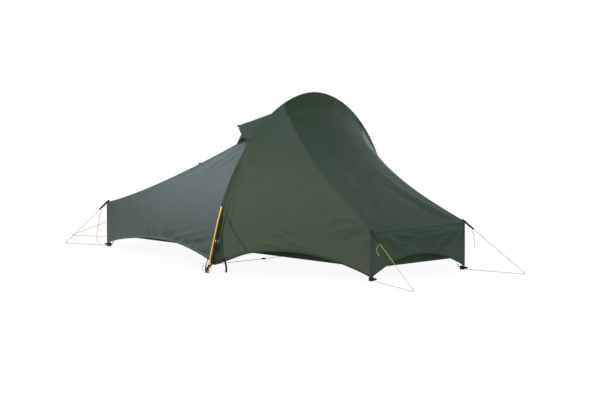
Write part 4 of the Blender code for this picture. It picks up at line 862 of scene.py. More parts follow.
def woven_tape(name, colour, mapped=True):
    """Woven webbing: diagonal ribs and worn, paler fibres on the high threads."""
    look = Look(name)
    if mapped:
        along, across = look.split(look.cloth_map())[:2]
        slope = look.math("ABSOLUTE", look.math("SUBTRACT", across, 0.5))
        slope = look.math("MULTIPLY", slope, WEBBING_WIDTH * THREAD_WAVE)
    else:
        x, y, z = look.split(look.place)[:]
        along = look.math("ADD", y, z)
        slope = look.math("MULTIPLY", x, RIB_WAVE / 2)
    rib = look.math("SINE", look.math("ADD", look.math("MULTIPLY", along, RIB_WAVE), slope))
    rib = look.ranged(rib, 0.0, 1.0, -1.0, 1.0)
    wear = look.noise(60.0, 5.0)
    base = look.mix(rib, tinted(colour, 0.6), tinted(colour, 1.5))
    return look.painted({
        "Base Color": look.mix(look.math("MULTIPLY", wear, 0.1), base, (0.06, 0.06, 0.06, 1.0)),
        "Roughness": look.ranged(wear, 0.68, 0.88),
        "Normal": look.bump((rib, 0.00025)),
        "Sheen Weight": 0.04,
        "Specular IOR Level": 0.15,
    })


def moulded(name, colour):
    """Moulded plastic: fine spark-eroded grain, faint flow marks and scuffs."""
    look = Look(name)
    grain, flow = look.noise(1500.0, 2.0), look.noise(90.0, 5.0)
    scuff = look.ranged(look.noise(320.0, 6.0, Distortion=2.0), 0.0, 0.55, 0.58, 0.72)
    base = look.mix(flow, tinted(colour, 0.8), tinted(colour, 1.3))
    return look.painted({
        "Base Color": look.mix(scuff, base, (0.1, 0.1, 0.1, 1.0)),
        "Roughness": look.ranged(flow, 0.34, 0.56),
        "Normal": look.bump((grain, 0.00005)),
        "Specular IOR Level": 0.25,
    })


def alloy(name, colour, roughness):
    """Drawn or anodised metal: fine grain, slight clouding, real metal reflection."""
    look = Look(name)
    cloud, fine = look.noise(70.0, 4.0), look.noise(900.0, 3.0)
    return look.painted({
        "Base Color": look.mix(cloud, tinted(colour, 0.88), tinted(colour, 1.08)),
        "Roughness": look.ranged(cloud, roughness - 0.06, roughness + 0.12),
        "Normal": look.bump((fine, 0.00003)),
        "Metallic": 1.0,
    })


def braided(name, colour, fleck):
    """Braided cord: two sets of strands that cross, with a contrasting fleck."""
    look = Look(name)
    x, y, z = look.split(look.place)[:]
    total = look.math("ADD", look.math("ADD", x, y), z)
    first = look.wave(total, 2 * pi / BRAID_PITCH)
    second = look.wave(look.math("SUBTRACT", x, z), 2 * pi / BRAID_PITCH)
    cross = look.ranged(look.math("MULTIPLY", first, second), 0.0, 1.0, -1.0, 1.0)
    base = look.mix(cross, tinted(colour, 0.78), tinted(colour, 1.05))
    spot = look.ranged(look.noise(120.0, 3.0), 0.0, 0.5, 0.6, 0.66)
    return look.painted({
        "Base Color": look.mix(spot, base, tinted(fleck)),
        "Roughness": 0.75,
        "Normal": look.bump((cross, 0.0003)),
        "Sheen Weight": 0.05,
        "Specular IOR Level": 0.2,
    })


def make_materials():
    return {
        # Painted sheen: the wall cloth fades up to a paler blue-grey towards the top.
        "wall": nylon("wall_nylon_painted_sheen", (0.044, 0.064, 0.055), 0.05, 0.48,
                      height_shading=(0.12, 0.46, (0.093, 0.126, 0.129))),
        # Painted shade: the door cloth, with the hood and sleeve that share it, darkens towards the
        # top.
        "door": nylon("door_nylon_painted_shade", (0.054, 0.077, 0.049),
                      height_shading=(0.42, 0.85, (0.029, 0.053, 0.035))),
        # Painted shade: the roof cloth darkens to a near black-green towards the ridge.
        "roof": nylon("roof_nylon_painted_shade", (0.0262, 0.0485, 0.0315),
                      height_shading=(0.5, 0.94, (0.001, 0.019, 0.002))),
        "brim": nylon("brim_nylon", (0.026, 0.05, 0.031)),
        "end": nylon("end_nylon", (0.033, 0.063, 0.041)),
        "tub": nylon("tub_nylon", (0.013, 0.036, 0.015), 0.02, 0.6),
        "inner": nylon("inner_nylon", (0.06, 0.072, 0.064), 0.15, 0.75),
        "net": nylon("vent_net", (0.02, 0.028, 0.022), 0.05, 0.8, 0.0002),
        # Painted shade: the gathered door cloth beside the pole is a darker copy of the door's
        # nylon.
        "pleat": nylon("pleat_nylon_painted_shade", (0.03, 0.048, 0.027), 0.02, 0.6),
        "seam": stitched("stitched_seam", (0.036, 0.054, 0.036)),
        "dart": stitched("stitched_dart", (0.036, 0.054, 0.035)),
        "binding": braided("dark_hem_cord", (0.022, 0.032, 0.024), (0.05, 0.06, 0.05)),
        # Painted sheen: the wall's seams are paler to match the wall's painted sheen.
        "wall_seam": stitched("stitched_wall_seam_painted_sheen", (0.066, 0.088, 0.088)),
        "webbing": woven_tape("black_webbing", (0.014, 0.014, 0.016)),
        "tape": woven_tape("black_tape", (0.013, 0.013, 0.015), mapped=False),
        "plastic": moulded("black_plastic", (0.008, 0.008, 0.009)),
        "rod": moulded("pultruded_rod", (0.18, 0.18, 0.175)),
        "pole": alloy("gold_anodised_tube", (0.8, 0.5, 0.05), 0.34),
        "metal": alloy("bright_alloy", (0.72, 0.72, 0.71), 0.3),
        "cord": braided("pale_yellow_cord", (0.62, 0.42, 0.07), (0.8, 0.7, 0.4)),
        "loop": braided("orange_loop_cord", (0.8, 0.42, 0.08), (0.85, 0.75, 0.4)),
        "elastic": braided("elastic_cord", (0.03, 0.03, 0.035), (0.35, 0.35, 0.35)),
        "teeth": woven_tape("zip_tape", (0.055, 0.079, 0.051), mapped=False),
    }


# Builders


def new_piece(name, data, material):
    data.materials.append(material)
    item = bpy.data.objects.new(name, data)
    bpy.context.scene.collection.objects.link(item)
    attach(item, "tent")
    return item


def stand_for(node):
    """Hides the CAD node that a new piece takes the place of."""
    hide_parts(node)


def cloth_piece(name, rows, material, outward, thickness=0.0007, across_unit=False):
    """Thin closed sheet on a grid of points; the map is in metres, or 0 to 1 across a strip."""
    count, width = len(rows), len(rows[0])
    faces = [(a, a + 1, a + width + 1, a + width)
             for i in range(count - 1) for a in range(i * width, i * width + width - 1)]
    row, column = rows[count // 2], [row[width // 2] for row in rows]
    across = row[width // 2] - row[width // 2 - 1]
    along = column[count // 2] - column[count // 2 - 1]
    if across.cross(along).dot(Vector(outward)) < 0:
        faces = [face[::-1] for face in faces]
    mesh = bpy.data.meshes.new(name)
    mesh.from_pydata([tuple(point) for row in rows for point in row], [], faces)
    item = new_piece(name, mesh, material)
    runs, rises = lengths_along(column), lengths_along(row)
    scale = 1 / rises[-1] if across_unit else 1.0
    places = [(run, rise * scale) for run in runs for rise in rises]
    layer = mesh.uv_layers.new(name="cloth")
    for loop in mesh.loops:
        layer.data[loop.index].uv = places[loop.vertex_index]
    mesh.shade_smooth()
    solid = item.modifiers.new("thickness", "SOLIDIFY")
    solid.thickness = thickness
    solid.offset = 1.0
    solid.use_even_offset = True
    item.modifiers.new("normals", "WEIGHTED_NORMAL").keep_sharp = False
    return item


def smooth_route(route, samples):
    """Points of a smooth curve through a route's own points."""
    points = []
    ends = [route[0] * 2 - route[1]] + list(route) + [route[-1] * 2 - route[-2]]
    for i in range(len(route) - 1):
        before, here, there, after = ends[i : i + 4]
        reach = (there - here).length
        leave = (there - before) * (reach / ((here - before).length + reach))
        arrive = (after - here) * (reach / (reach + (after - there).length))
        for k in range(samples):
            s = k / samples
            a = 2 * s**3 - 3 * s**2 + 1
            b = s**3 - 2 * s**2 + s
            c = 3 * s**2 - 2 * s**3
            d = s**3 - s**2
            points.append(here * a + leave * b + there * c + arrive * d)
    points.append(route[-1])
    return points


def cord_piece(name, points, diameter, material, closed=False, sides=3):
    curve = bpy.data.curves.new(name, "CURVE")
    curve.dimensions = "3D"
    curve.bevel_depth = diameter / 2
    curve.bevel_resolution = sides
    curve.use_fill_caps = not closed
    spline = curve.splines.new("POLY")
    spline.points.add(len(points) - 1)
    for place, point in zip(spline.points, points):
        place.co = (*point, 1.0)
    spline.use_cyclic_u = closed
    return new_piece(name, curve, material)


def strap_piece(name, points, facing, width, material, thickness=TAPE_THICKNESS):
    """Flat webbing along a route, its wide side turned to the way it faces."""
    rows = []
    for i, point in enumerate(points):
        along = points[min(i + 1, len(points) - 1)] - points[max(i - 1, 0)]
        across = along.cross(facing).normalized() * (width / 2)
        rows.append([point - across, point, point + across])
    cloth_piece(name, rows, material, facing, thickness, True)


# Fly


def wall_key(side, far):
    if side > 0 and not far:
        return "door_near"
    return f"wall_{LEGS[far][1]}_{WORDS[side]}"


def make_fly(materials):
    for key, panel in PANELS.items():
        item = cloth_piece(f"fly_{key}_cloth", panel.rows(), materials[panel.cloth], panel.outward)
        stand_for(f"fly_{key}")
        width, length, area = panel.cut
        strut = f"strut_{'right' if 'right' in key else 'left'}_near"


def seam_strip(name, first, second, material, reach, count, span):
    """Folded seam that wraps a ridge between two panels; each gives a point by share and reach."""
    rows = []
    for i in range(count + 1):
        share = lerp(*span, i / count)
        a, middle, b = first(share, reach), first(share, 0.0), second(share, reach)
        a_half, b_half = first(share, reach * SEAM_SHOULDER), second(share, reach * SEAM_SHOULDER)
        crest = lerp(middle, (a_half + b_half) / 2, SEAM_FLATNESS)
        rows.append([a, a_half, crest, b_half, b])
    half = rows[count // 2]
    cloth_piece(name, rows, material, half[2] * 2 - half[0] - half[4], SEAM_THICKNESS, True)


def make_seams(materials):
    """Sewn seams along the ridges and corners, and folded hems."""
    for side, word in WORDS.items():
        roof, end = PANELS[f"roof_{word}"], PANELS[f"end_{word}"]
        for far, place in LEGS:
            wall = PANELS[wall_key(side, far)]
            tone = materials["wall_seam" if wall is PANELS["wall_near_left"] else "seam"]
            seam_strip(f"seam_{word}_{place}", wall.edge("top"), roof.edge("top" if far else "foot"),
                       tone, SEAM_REACH, 60, (0.012 if side < 0 else 0.05, 0.995))
            seam_strip(f"seam_corner_{word}_{place}", wall.edge("end"),
                       end.edge("end" if far else "start"), tone, CORNER_SEAM_REACH, 14,
                       (0.02, 0.98))
        seam_strip(f"seam_ridge_{word}", roof.edge("end"), end.edge("top"), materials["seam"],
                   CORNER_SEAM_REACH, 24, (0.01, 0.99))
    shares = [lerp(EDGE_MARGIN, 1 - EDGE_MARGIN, i / HEM_STEPS) for i in range(HEM_STEPS + 1)]
    for key, panel in PANELS.items():
        if key.startswith("roof"):
            continue
        rows = [[panel.at(u, height / panel.high, lift) - UP * drop
                 for height, lift, drop in HEM_PROFILE] for u in shares]
        tone = materials["wall_seam" if key == "wall_near_left" else "seam"]
        cloth_piece(f"hem_{key}", rows, tone, panel.outward, HEM_TAPE, True)
        # A thin dark cord runs just below the foot of each hem.
        edge = [panel.at(u, 0.0) - UP * HEM_CORD_DROP for u in shares]
        cord_piece(f"hem_cord_{key}", edge, HEM_CORD, materials["binding"])


# Pole and its sleeve


def pole_angles(first, last, count):
    """Angles round the hoop at even steps of its length."""
    fine = 400
    angles = [lerp(first, last, i / fine) for i in range(fine + 1)]
    run = lengths_along([arch_point(angle) for angle in angles])
    result = []
    step = 0
    for k in range(count + 1):
        target = run[-1] * k / count
        while step < fine - 1 and run[step + 1] < target:
            step += 1
        share = (target - run[step]) / (run[step + 1] - run[step])
        result.append(lerp(angles[step], angles[step + 1], share))
    return result


def beside_hoop(side, angle, reach, lift):
    """Point on the fly beside the hoop, at a distance from its seam."""
    near_top, far_top = top_angle(side, False), top_angle(side, True)
    if side < 0 and VENT_FIRST_ANGLE - 0.02 < angle < VENT_LAST_ANGLE + 0.02:
        base = arch_point(angle) - arch_out(angle) * (SLEEVE_RADIUS + SLEEVE_TO_CLOTH - lift)
        return base + Vector((-reach, 0.0, -reach * VENT_DROP * 0.4))
    if near_top < angle < far_top:
        panel = PANELS[f"roof_{WORDS[side]}"]
        return panel.at(reach / panel.long, (angle - near_top) / (far_top - near_top), lift)
    far = angle > pi / 2
    low = hem_angle(side, far)
    share = (angle - low) / (top_angle(side, far) - low)
    panel = PANELS[wall_key(side, far)]
    return panel.at(reach / panel.long, clamp(share), lift)


def flap_reach(angle):
    """Width of the door's side of the sleeve, narrow where the zip runs beside it."""
    if angle > pi / 2:
        share = smooth((angle - FAR_SEAM_ANGLE + FLAP_FADE_FAR) / FLAP_FADE_FAR)
        return lerp(FLAP_WIDTH, ZIP_FLAP_WIDTH, share)
    share = smooth((arch_point(angle).z - ZIP_CLEAR_HEIGHT) / FLAP_FADE_NEAR)
    return lerp(ZIP_FLAP_WIDTH, FLAP_WIDTH, share)


def over_pole(angle, share, lift):
    """Cloth drawn taut from the pole's crest (share 0) down to the panel beside it (share 1)."""
    wide = flap_reach(angle)
    start = SLEEVE_RADIUS * sin(CREST_TURN)
    crest = SLEEVE_RADIUS * (1 + cos(CREST_TURN)) + SLEEVE_TO_CLOTH
    rise = crest / (1 - start / wide) ** FLAP_POWER
    base = beside_hoop(1, angle, lerp(start, wide, share), lift)
    return base + arch_out(angle) * (rise * (1 - lerp(start / wide, 1.0, share)) ** FLAP_POWER)


def make_sleeve(materials):
    """Cloth channel over the pole, sewn down to the fly on both sides of it."""
    first = arch_angle(SLEEVE_START_HEIGHT)
    angles = pole_angles(first, pi - first, SLEEVE_STEPS)
    rows = []
    for k, angle in enumerate(angles):
        pucker = PUCKER_WAVE * sin(k * 1.9)
        pucker += PUCKER_SLACK * noise.noise(Vector((k * 0.33, 0.0, 4.0)))
        row = [beside_hoop(-1, angle, reach, lift) for reach, lift in SLEEVE_HEM]
        for step in range(7):
            turn = lerp(SLEEVE_BACK_TURN, CREST_TURN, step / 6)
            reach = SLEEVE_RADIUS - 0.0002 + pucker * (1 + cos(turn * 2)) * 0.5
            row.append(round_pole(angle, reach, turn))
        for share in FLAP_SHARES:
            lift = lerp(FLAP_LIFT, FLAP_EDGE_LIFT, clamp(share * 5 - 4))
            row.append(over_pole(angle, share, lift))
        rows.append(row)
    item = cloth_piece("pole_sleeve_cloth", rows, materials["door"], UP, 0.0006)
    item.data.materials.append(materials["roof"])
    across = len(rows[0]) - 1
    for index, face in enumerate(item.data.polygons):
        face.material_index = int(angles[index // across] > DOOR_SEAM_ANGLE)
    stand_for("pole_sleeve")
    for far, word in LEGS:
        mouth = arch_point(arch_angle(SLEEVE_START_HEIGHT, far))
        inside = arch_point(arch_angle(SLEEVE_START_HEIGHT + 0.01, far))
        cord_piece(f"sleeve_mouth_{word}", [mouth, inside],
                   2 * SLEEVE_RADIUS + MOUTH_OVER_SLEEVE, materials["seam"], sides=5)


def door_share(height):
    """How far up the door's edge beside the hoop a height lies."""
    low = hem_angle(1, False)
    return (arch_angle(height) - low) / (DOOR_SEAM_ANGLE - low)


def make_door_pleats(materials):
    """Gathered cloth between the pole and the door, and the dart and strap sewn beside it."""
    door = PANELS["door_near"]
    top = door_share(PLEAT_TOP)

    def pleat(up, share):
        v = lerp(EDGE_MARGIN, top, up)
        wide = lerp(PLEAT_WIDTH, 0.01, (v / top) ** 0.85)
        held = smooth(share * 6) * smooth((1 - share) * 6)
        wave = sin(2 * pi * PLEAT_COUNT * share + 1.4 * v / top + 0.8)
        lift = PLEAT_DEPTH * (0.5 + 0.5 * wave) * held * smooth((1 - v / top) * 3)
        return door.at(lerp(EDGE_MARGIN, wide, share), v, 0.0013 + lift)

    # The pleats' darker nylon is painted shade.
    item = cloth_piece("door_pleats", grid(80, 48, pleat), materials["pleat"], door.outward, 0.0006)

    first, last = Vector((DART_TOP, top)), Vector((DART_FOOT, 0.006))
    run = Vector(((last.x - first.x) * door.long, (last.y - first.y) * door.high))
    off = Vector((-run.y, run.x)).normalized() * DART_HALF_WIDTH
    rows = []
    for i in range(61):
        spot = first.lerp(last, i / 60)
        rows.append([
            door.at(spot.x + side * off.x / door.long, clamp(spot.y + side * off.y / door.high),
                    0.001 + 0.0007 * (1 - side * side))
            for side in (-1, -0.4, 0, 0.4, 1)])
    cloth_piece("door_dart", rows, materials["dart"], door.outward, 0.0006, True)
    edge_top = door_share(EDGE_STRAP_TOP)
    edge = [door.at(0.014, lerp(0.012, edge_top, i / 16), 0.0095) for i in range(17)]
    strap_piece("door_edge_strap", edge, door.outward, WEBBING_WIDTH, materials["webbing"])


def make_painted_ridge_highlight(materials):
    """Painted highlight: a strip of the pale wall cloth laid over the roof along the far ridge
    beside the hoop.
    """
    roof = PANELS["roof_right"]

    def spot(share, across):
        inner = RIDGE_HIGHLIGHT_INNER - RIDGE_HIGHLIGHT_WIDTH * sin(pi * share ** 1.5) ** 0.8
        return roof.at(lerp(*RIDGE_HIGHLIGHT_SPAN, share), lerp(inner, RIDGE_HIGHLIGHT_OUTER, across), 0.0012)

    overlay_sheet = cloth_piece("painted_ridge_highlight", grid(40, 10, spot), materials["wall"], roof.outward, 0.0005)


# Vent


def edge_of(points, v):
    for (u0, v0), (u1, v1) in zip(points, points[1:]):
        if v <= v1:
            return lerp(u0, u1, clamp((v - v0) / (v1 - v0)))
    return points[-1][0]


def hood_row(u):
    """Line over the hood: from the door's side over the pole's sleeve and out to the tip."""
    angle = lerp(VENT_FIRST_ANGLE, VENT_LAST_ANGLE, u)
    shares = [k / HOOD_FLAP_STEPS for k in range(HOOD_FLAP_STEPS)]
    row = [over_pole(angle, HOOD_OVERLAP * (1 - share), lerp(HOOD_HEM_LIFT, HOOD_LIFT, share))
           for share in shares]
    row += [round_pole(angle, SLEEVE_RADIUS + SLEEVE_TO_CLOTH, turn) for turn in (CREST_TURN, 0.0)]
    start = row[-1]
    tip = arch_point(HOOD_TIP_ANGLE) + Vector((-HOOD_REACH, 0.0, HOOD_TIP_RISE))
    down = (arch_point(VENT_FIRST_ANGLE) - arch_point(VENT_LAST_ANGLE)).normalized()
    for k in range(1, HOOD_STEPS + 1):
        v = k / HOOD_STEPS
        point = lerp(start, tip, v) + down * (HOOD_BULGE * (1 - u) ** 2 * 4 * v * (1 - v))
        crown = HOOD_CROWN * 16 * u * (1 - u) * v * (1 - v)
        crown += HOOD_WRINKLE * sin(9 * u + 2 * v) * sin(pi * u) * sin(pi * v)
        row.append(point + arch_out(HOOD_TIP_ANGLE) * crown)
    return row


def hood_brim(u):
    """The part of a hood's line that stands clear of the sleeve, from the pole to the tip."""
    return hood_row(u)[-HOOD_STEPS - 1:]


def make_vent(materials):
    """Hood over the vent, its bound brim, the cloth beside it and the stiffener at its tip."""
    out = arch_out(HOOD_TIP_ANGLE)
    hood = cloth_piece("vent_hood_cloth", [hood_row(i / 48) for i in range(49)],
                       materials["door"], out, 0.0009)
    stand_for("vent_hood")
    for share, inner, word in ((0.0, BRIM_SHARE, "lower"), (1.0, 1 - BRIM_SHARE, "upper")):
        rows = [[b + out * BRIM_LIFT, a + out * BRIM_LIFT, a + (a - b).normalized() * BRIM_FOLD,
                 a - out * BRIM_FOLD, b - out * BRIM_FOLD]
                for a, b in zip(hood_brim(share), hood_brim(inner))]
        cloth_piece(f"vent_brim_{word}", rows, materials["brim"], out, 0.0006, True)
    wall = PANELS["wall_near_left"]

    def gore_spot(up, share):
        v = lerp(GORE_EDGE[0][1], 0.997, up)
        lift = lerp(GORE_LIFT, GORE_TOP_LIFT, smooth((v - 0.94) / 0.035))
        return wall.at(lerp(0.002, edge_of(GORE_EDGE, v), share), v, lift)

    overlay_sheet = cloth_piece("vent_gore", grid(32, 12, gore_spot), materials["door"], wall.outward, 0.0005)
    brim = hood_brim(0.0)

    def gusset_spot(share, up):
        place = share * GUSSET_END * HOOD_STEPS
        step = min(int(place), HOOD_STEPS - 1)
        above = brim[step].lerp(brim[step + 1], place - step)
        foot = wall.at(lerp(EDGE_MARGIN, GORE_EDGE[-1][0], share), 1.0) + UP * 0.0012
        return foot.lerp(above, up)

    gusset = cloth_piece("vent_gusset", grid(24, 8, gusset_spot), materials["brim"],
                         (0.0, -1.0, 0.3), 0.0005)
    middle = hood_brim(0.5)
    tip = middle[-1]
    along = (tip - middle[-10]).normalized()
    end = tip + along * STIFFENER_OUTER + UP * STIFFENER_RISE
    cord_piece("vent_stiffener", [tip - along * STIFFENER_INNER, tip, end],
               STIFFENER_DIAMETER, materials["tape"])


def make_vent_net(materials):
    """Net in the slot under the hood."""
    def spot(place, share):
        angle = lerp(VENT_FIRST_ANGLE, VENT_LAST_ANGLE, lerp(0.3, 0.7, place))
        low, high = fabric_arch(angle, -1), under_sleeve(angle)
        margin = NET_MARGIN / (high - low).length
        point = lerp(lerp(low, high, margin), lerp(low, high, 1 - margin), share)
        return point + arch_out(angle) * -0.002 * sin(pi * share)

    net = cloth_piece("vent_net", grid(24, 8, spot), materials["net"],
                      arch_out(HOOD_TIP_ANGLE), 0.0006)
    stand_for("vent_mesh")


# Inner tent


def tub_point(u, v):
    """Point on the floor inside its seams."""
    near = lerp(corner_plan("left_near", TUB_MARGIN), corner_plan("right_near", TUB_MARGIN), u)
    far = lerp(corner_plan("left_far", TUB_MARGIN), corner_plan("right_far", TUB_MARGIN), u)
    point = lerp(near, far, v)
    point.z = TUB_SEAM_HEIGHT - TUB_SAG * 16 * u * (1 - u) * v * (1 - v)
    return point


def tub_rim(u, v, height):
    """Point above the floor's edge, on top of the low side walls."""
    point = tub_point(u, v)
    point.x += TUB_LEAN * ((u == 1) - (u == 0))
    point.y += TUB_LEAN * ((v == 1) - (v == 0))
    point.z = height
    return point


def tub_cloth(i, j):
    """Point on the tub's cloth; each step past the floor's edge is a step up its side wall."""
    long_steps, cross_steps = TUB_STEPS
    u, v = clamp(i / long_steps), clamp(j / cross_steps)
    up = max(-i, i - long_steps, -j, j - cross_steps, 0) / TUB_WALL_STEPS
    base = tub_point(u, v)
    if up == 0:
        dip = TUB_SLACK * noise.noise(Vector((base.x * 5, base.y * 9, 1.0)))
        return base + UP * dip * (smooth(min(u, 1 - u) * 20) * smooth(min(v, 1 - v) * 8))
    slack = TUB_WALL_SLACK * noise.noise(Vector((base.x * 7, base.y * 7, 5.0))) * sin(pi * up)
    rim = tub_rim(u, v, TUB_WALL_TOP)
    on_long_side = 0 <= i <= long_steps
    if on_long_side:
        rim.x = base.x
    if 0 <= j <= cross_steps:
        rim.y = base.y
    return lerp(base, rim, up) + Vector((0.0, slack, 0.0) if on_long_side else (slack, 0.0, 0.0))


def inner_hoop(share):
    low = asin(((TUB_WALL_TOP + INNER_GAP) / INNER_HEIGHT) ** (INNER_EXPONENT / 2))
    angle = lerp(low, pi - low, share)
    return hoop_curve(angle, INNER_HALF_WIDTH, INNER_HEIGHT, INNER_EXPONENT)


def inner_staple(side, share):
    """Inner tent's end line: up one tub corner, across and down the other."""
    first, last = (corner_plan(key, TUB_MARGIN) + UP * (TUB_WALL_TOP + INNER_GAP)
                   for key in end_keys(side))
    rise = UP * (INNER_END_HEIGHT - first.z)
    bend = INNER_SIDE_SHARE
    if share < bend:
        return first + rise * (share / bend)
    if share > 1 - bend:
        return last + rise * ((1 - share) / bend)
    return lerp(first, last, (share - bend) / (1 - 2 * bend)) + rise


def inner_side_point(side, u, v):
    hoop = inner_hoop(v)
    hoop.x += side * GAP / 2
    end = inner_staple(side, v)
    point = lerp(hoop, end, u)
    power = INNER_ROOF_POWER if side > 0 else INNER_LEFT_POWER
    point.z = end.z + (hoop.z - end.z) * (1 - u) ** power
    if v in (0, 1):
        length = END_SPACING / 2 - TUB_MARGIN
        point = tub_rim((point.x + length) / (2 * length), v, TUB_WALL_TOP + INNER_GAP)
    return point


def inner_slack_point(side, u, v):
    """Point on a canopy half, where its cloth sags between its seams."""
    point = inner_side_point(side, u, v)
    slack = CANOPY_SLACK * noise.noise(Vector((point.x * 5, point.y * 6, point.z * 6)))
    hold = smooth(min(u, 1 - u) * 12) * smooth(min(v, 1 - v) * 14)
    return point - UP * (abs(slack) * hold)


def inner_end_point(side, u, v):
    near, far = (corner_plan(key, TUB_MARGIN) for key in end_keys(side))
    point = lerp(near, far, lerp(EDGE_MARGIN, 1 - EDGE_MARGIN, u))
    point += UP * lerp(TUB_WALL_TOP + INNER_GAP, INNER_END_HEIGHT, v)
    slack = END_SLACK * sin(pi * u) * sin(pi * v)
    point.x += side * (INNER_GAP + lerp(TUB_LEAN, 0.0, v) - slack)
    return point


def make_inner(materials):
    """Inner tent: tub floor with low walls, two canopy halves and two end panels."""
    long_range, cross_range = (range(-TUB_WALL_STEPS, steps + TUB_WALL_STEPS + 1)
                               for steps in TUB_STEPS)
    rows = [[tub_cloth(i, j) for j in cross_range] for i in long_range]
    tub = cloth_piece("inner_floor_cloth", rows, materials["tub"], UP, 0.0009)
    stand_for("inner_floor")
    for side, word in WORDS.items():
        rows = grid(40, 60, partial(inner_slack_point, side))
        item = cloth_piece(f"inner_canopy_{word}_cloth", rows, materials["inner"],
                           (side * 0.4, 0.0, 0.9))
        stand_for(f"inner_canopy_{word}")
        rows = grid(24, 8, partial(inner_end_point, side))
        item = cloth_piece(f"inner_end_{word}_cloth", rows, materials["inner"], (side, 0.0, 0.0))
        stand_for(f"inner_end_{word}")


# Straps and loops


def make_floor_straps(materials):
    """Strap from each corner buckle up to the tub."""
    for key, (side_x, side_y) in CORNERS.items():
        inward = Vector((-side_x, -side_y, 0.0)).normalized()
        buckle = corner_plan(key, STRUT_INSET) + inward * (FOOT_SIZE / sqrt(2) + 0.001)
        buckle += UP * BUCKLE_HEIGHT
        end = corner_plan(key, TUB_MARGIN) + inward * WEBBING_WIDTH
        end.z = TUB_SEAM_HEIGHT - STRAP_UNDER_SEAM
        along = (end - buckle).normalized()
        first = buckle + along * (BUCKLE_LENGTH + GAP * 2)
        half = along.cross(UP).normalized() * (WEBBING_WIDTH / 2)
        shares = [i / STRAP_STEPS for i in range(STRAP_STEPS + 1)]
        spots = [lerp(first, end, share) - UP * (STRAP_SAG * sin(pi * share)) for share in shares]
        cloth_piece(f"floor_strap_{key}", [[spot - half, spot, spot + half] for spot in spots],
                    materials["webbing"], UP, TAPE_THICKNESS, True)


def make_hem_tail(materials):
    """Spare webbing sewn on the door's hem, with its end hanging."""
    door = PANELS["door_near"]
    hem = HEM_AT_POLE_RIGHT + DOOR_HEM_DIP * 0.1

    def spot(height):
        v = door_share(height)
        u = TAIL_REACH / (door.surface(1.0, v) - door.surface(0.0, v)).length
        normal = door.normal(u, clamp(v))
        return door.surface(u, v) + normal * (FABRIC + GAP * 3 + TAPE_THICKNESS / 2), normal

    top, normal = spot(hem + TAIL_SEWN)
    edge = spot(hem)[0]
    across = normal.cross(edge - top).normalized()
    if across.x < 0:
        across = -across
    middle = [top, lerp(top, edge, 0.5), edge]
    for k in range(1, 15):
        swing = across * (TAIL_SWING * sin(pi * k / 14 * 0.7))
        middle.append(edge + swing - UP * (TAIL_LENGTH * k / 14))
    half = across * (TAIL_WIDTH / 2)
    tail = cloth_piece("hem_tail_tape", [[point - half, point, point + half] for point in middle],
                       materials["webbing"], normal, TAPE_THICKNESS, True)
    stand_for("hem_tail")
    tuple(top)
    lengths_along(middle)[-1]
    [tuple(point) for point in middle]


def make_peg_loops(materials):
    """Cord loops that stand up on both sides of each pole foot, ready for a peg."""
    depth = (POLE_FOOT_DIAMETER + LOOP_CORD) / 2 + GAP * 4
    for far, word in LEGS:
        centre = leg_point(far, LOOP_CORD / 2)
        points = []
        for k in range(64):
            angle = 2 * pi * k / 64
            out = abs(cos(angle))
            swell = depth * sin(angle) * (1 + 0.6 * out * out)
            rise = LOOP_RISE * smooth((out - 0.25) / 0.75)
            points.append(centre + Vector((LOOP_REACH * cos(angle) * 0.95, swell, rise)))
        loop = cord_piece(f"peg_loop_{word}_cord", points, LOOP_CORD, materials["loop"], closed=True)
        stand_for(f"peg_loop_{word}")


def make_pole(materials):
    """Round pole sections with their tips."""
    low = arch_angle(POLE_SEAT)
    steps = 40
    points = [arch_point(angle) for angle in pole_angles(low, pi - low, POLE_SECTIONS * steps)]
    for k in range(POLE_SECTIONS):
        path = points[k * steps : (k + 1) * steps + 1]
        tube = cord_piece(f"pole_tube_{k + 1}", path, POLE_DIAMETER, materials["pole"], sides=6)
        stand_for(f"pole_section_{k + 1}")
    for far, word in LEGS:
        seat, end, collar = (leg_point(far, POLE_SEAT + height)
                             for height in (0.0, -TIP_LENGTH * 0.9, COLLAR_HEIGHT))
        cord_piece(f"pole_tip_{word}", [seat, end], TIP_DIAMETER, materials["metal"], sides=5)
        cord_piece(f"pole_collar_{word}", [seat, collar], POLE_DIAMETER + 0.0012,
                   materials["plastic"], sides=5)


def dress_hardware(materials):
    """Materials for the nodes that keep their CAD shape."""
    for name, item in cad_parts.items():
        for start, key in HARDWARE.items():
            if name.startswith(start):
                item.data.materials.clear()
                item.data.materials.append(materials[key])
                break


# Guylines and the webbing at the feet


def line_direction(key):
    return (PEG_PLACES[key] + UP * PEG_LINE_HEIGHT - corner_line(key, 1)).normalized()


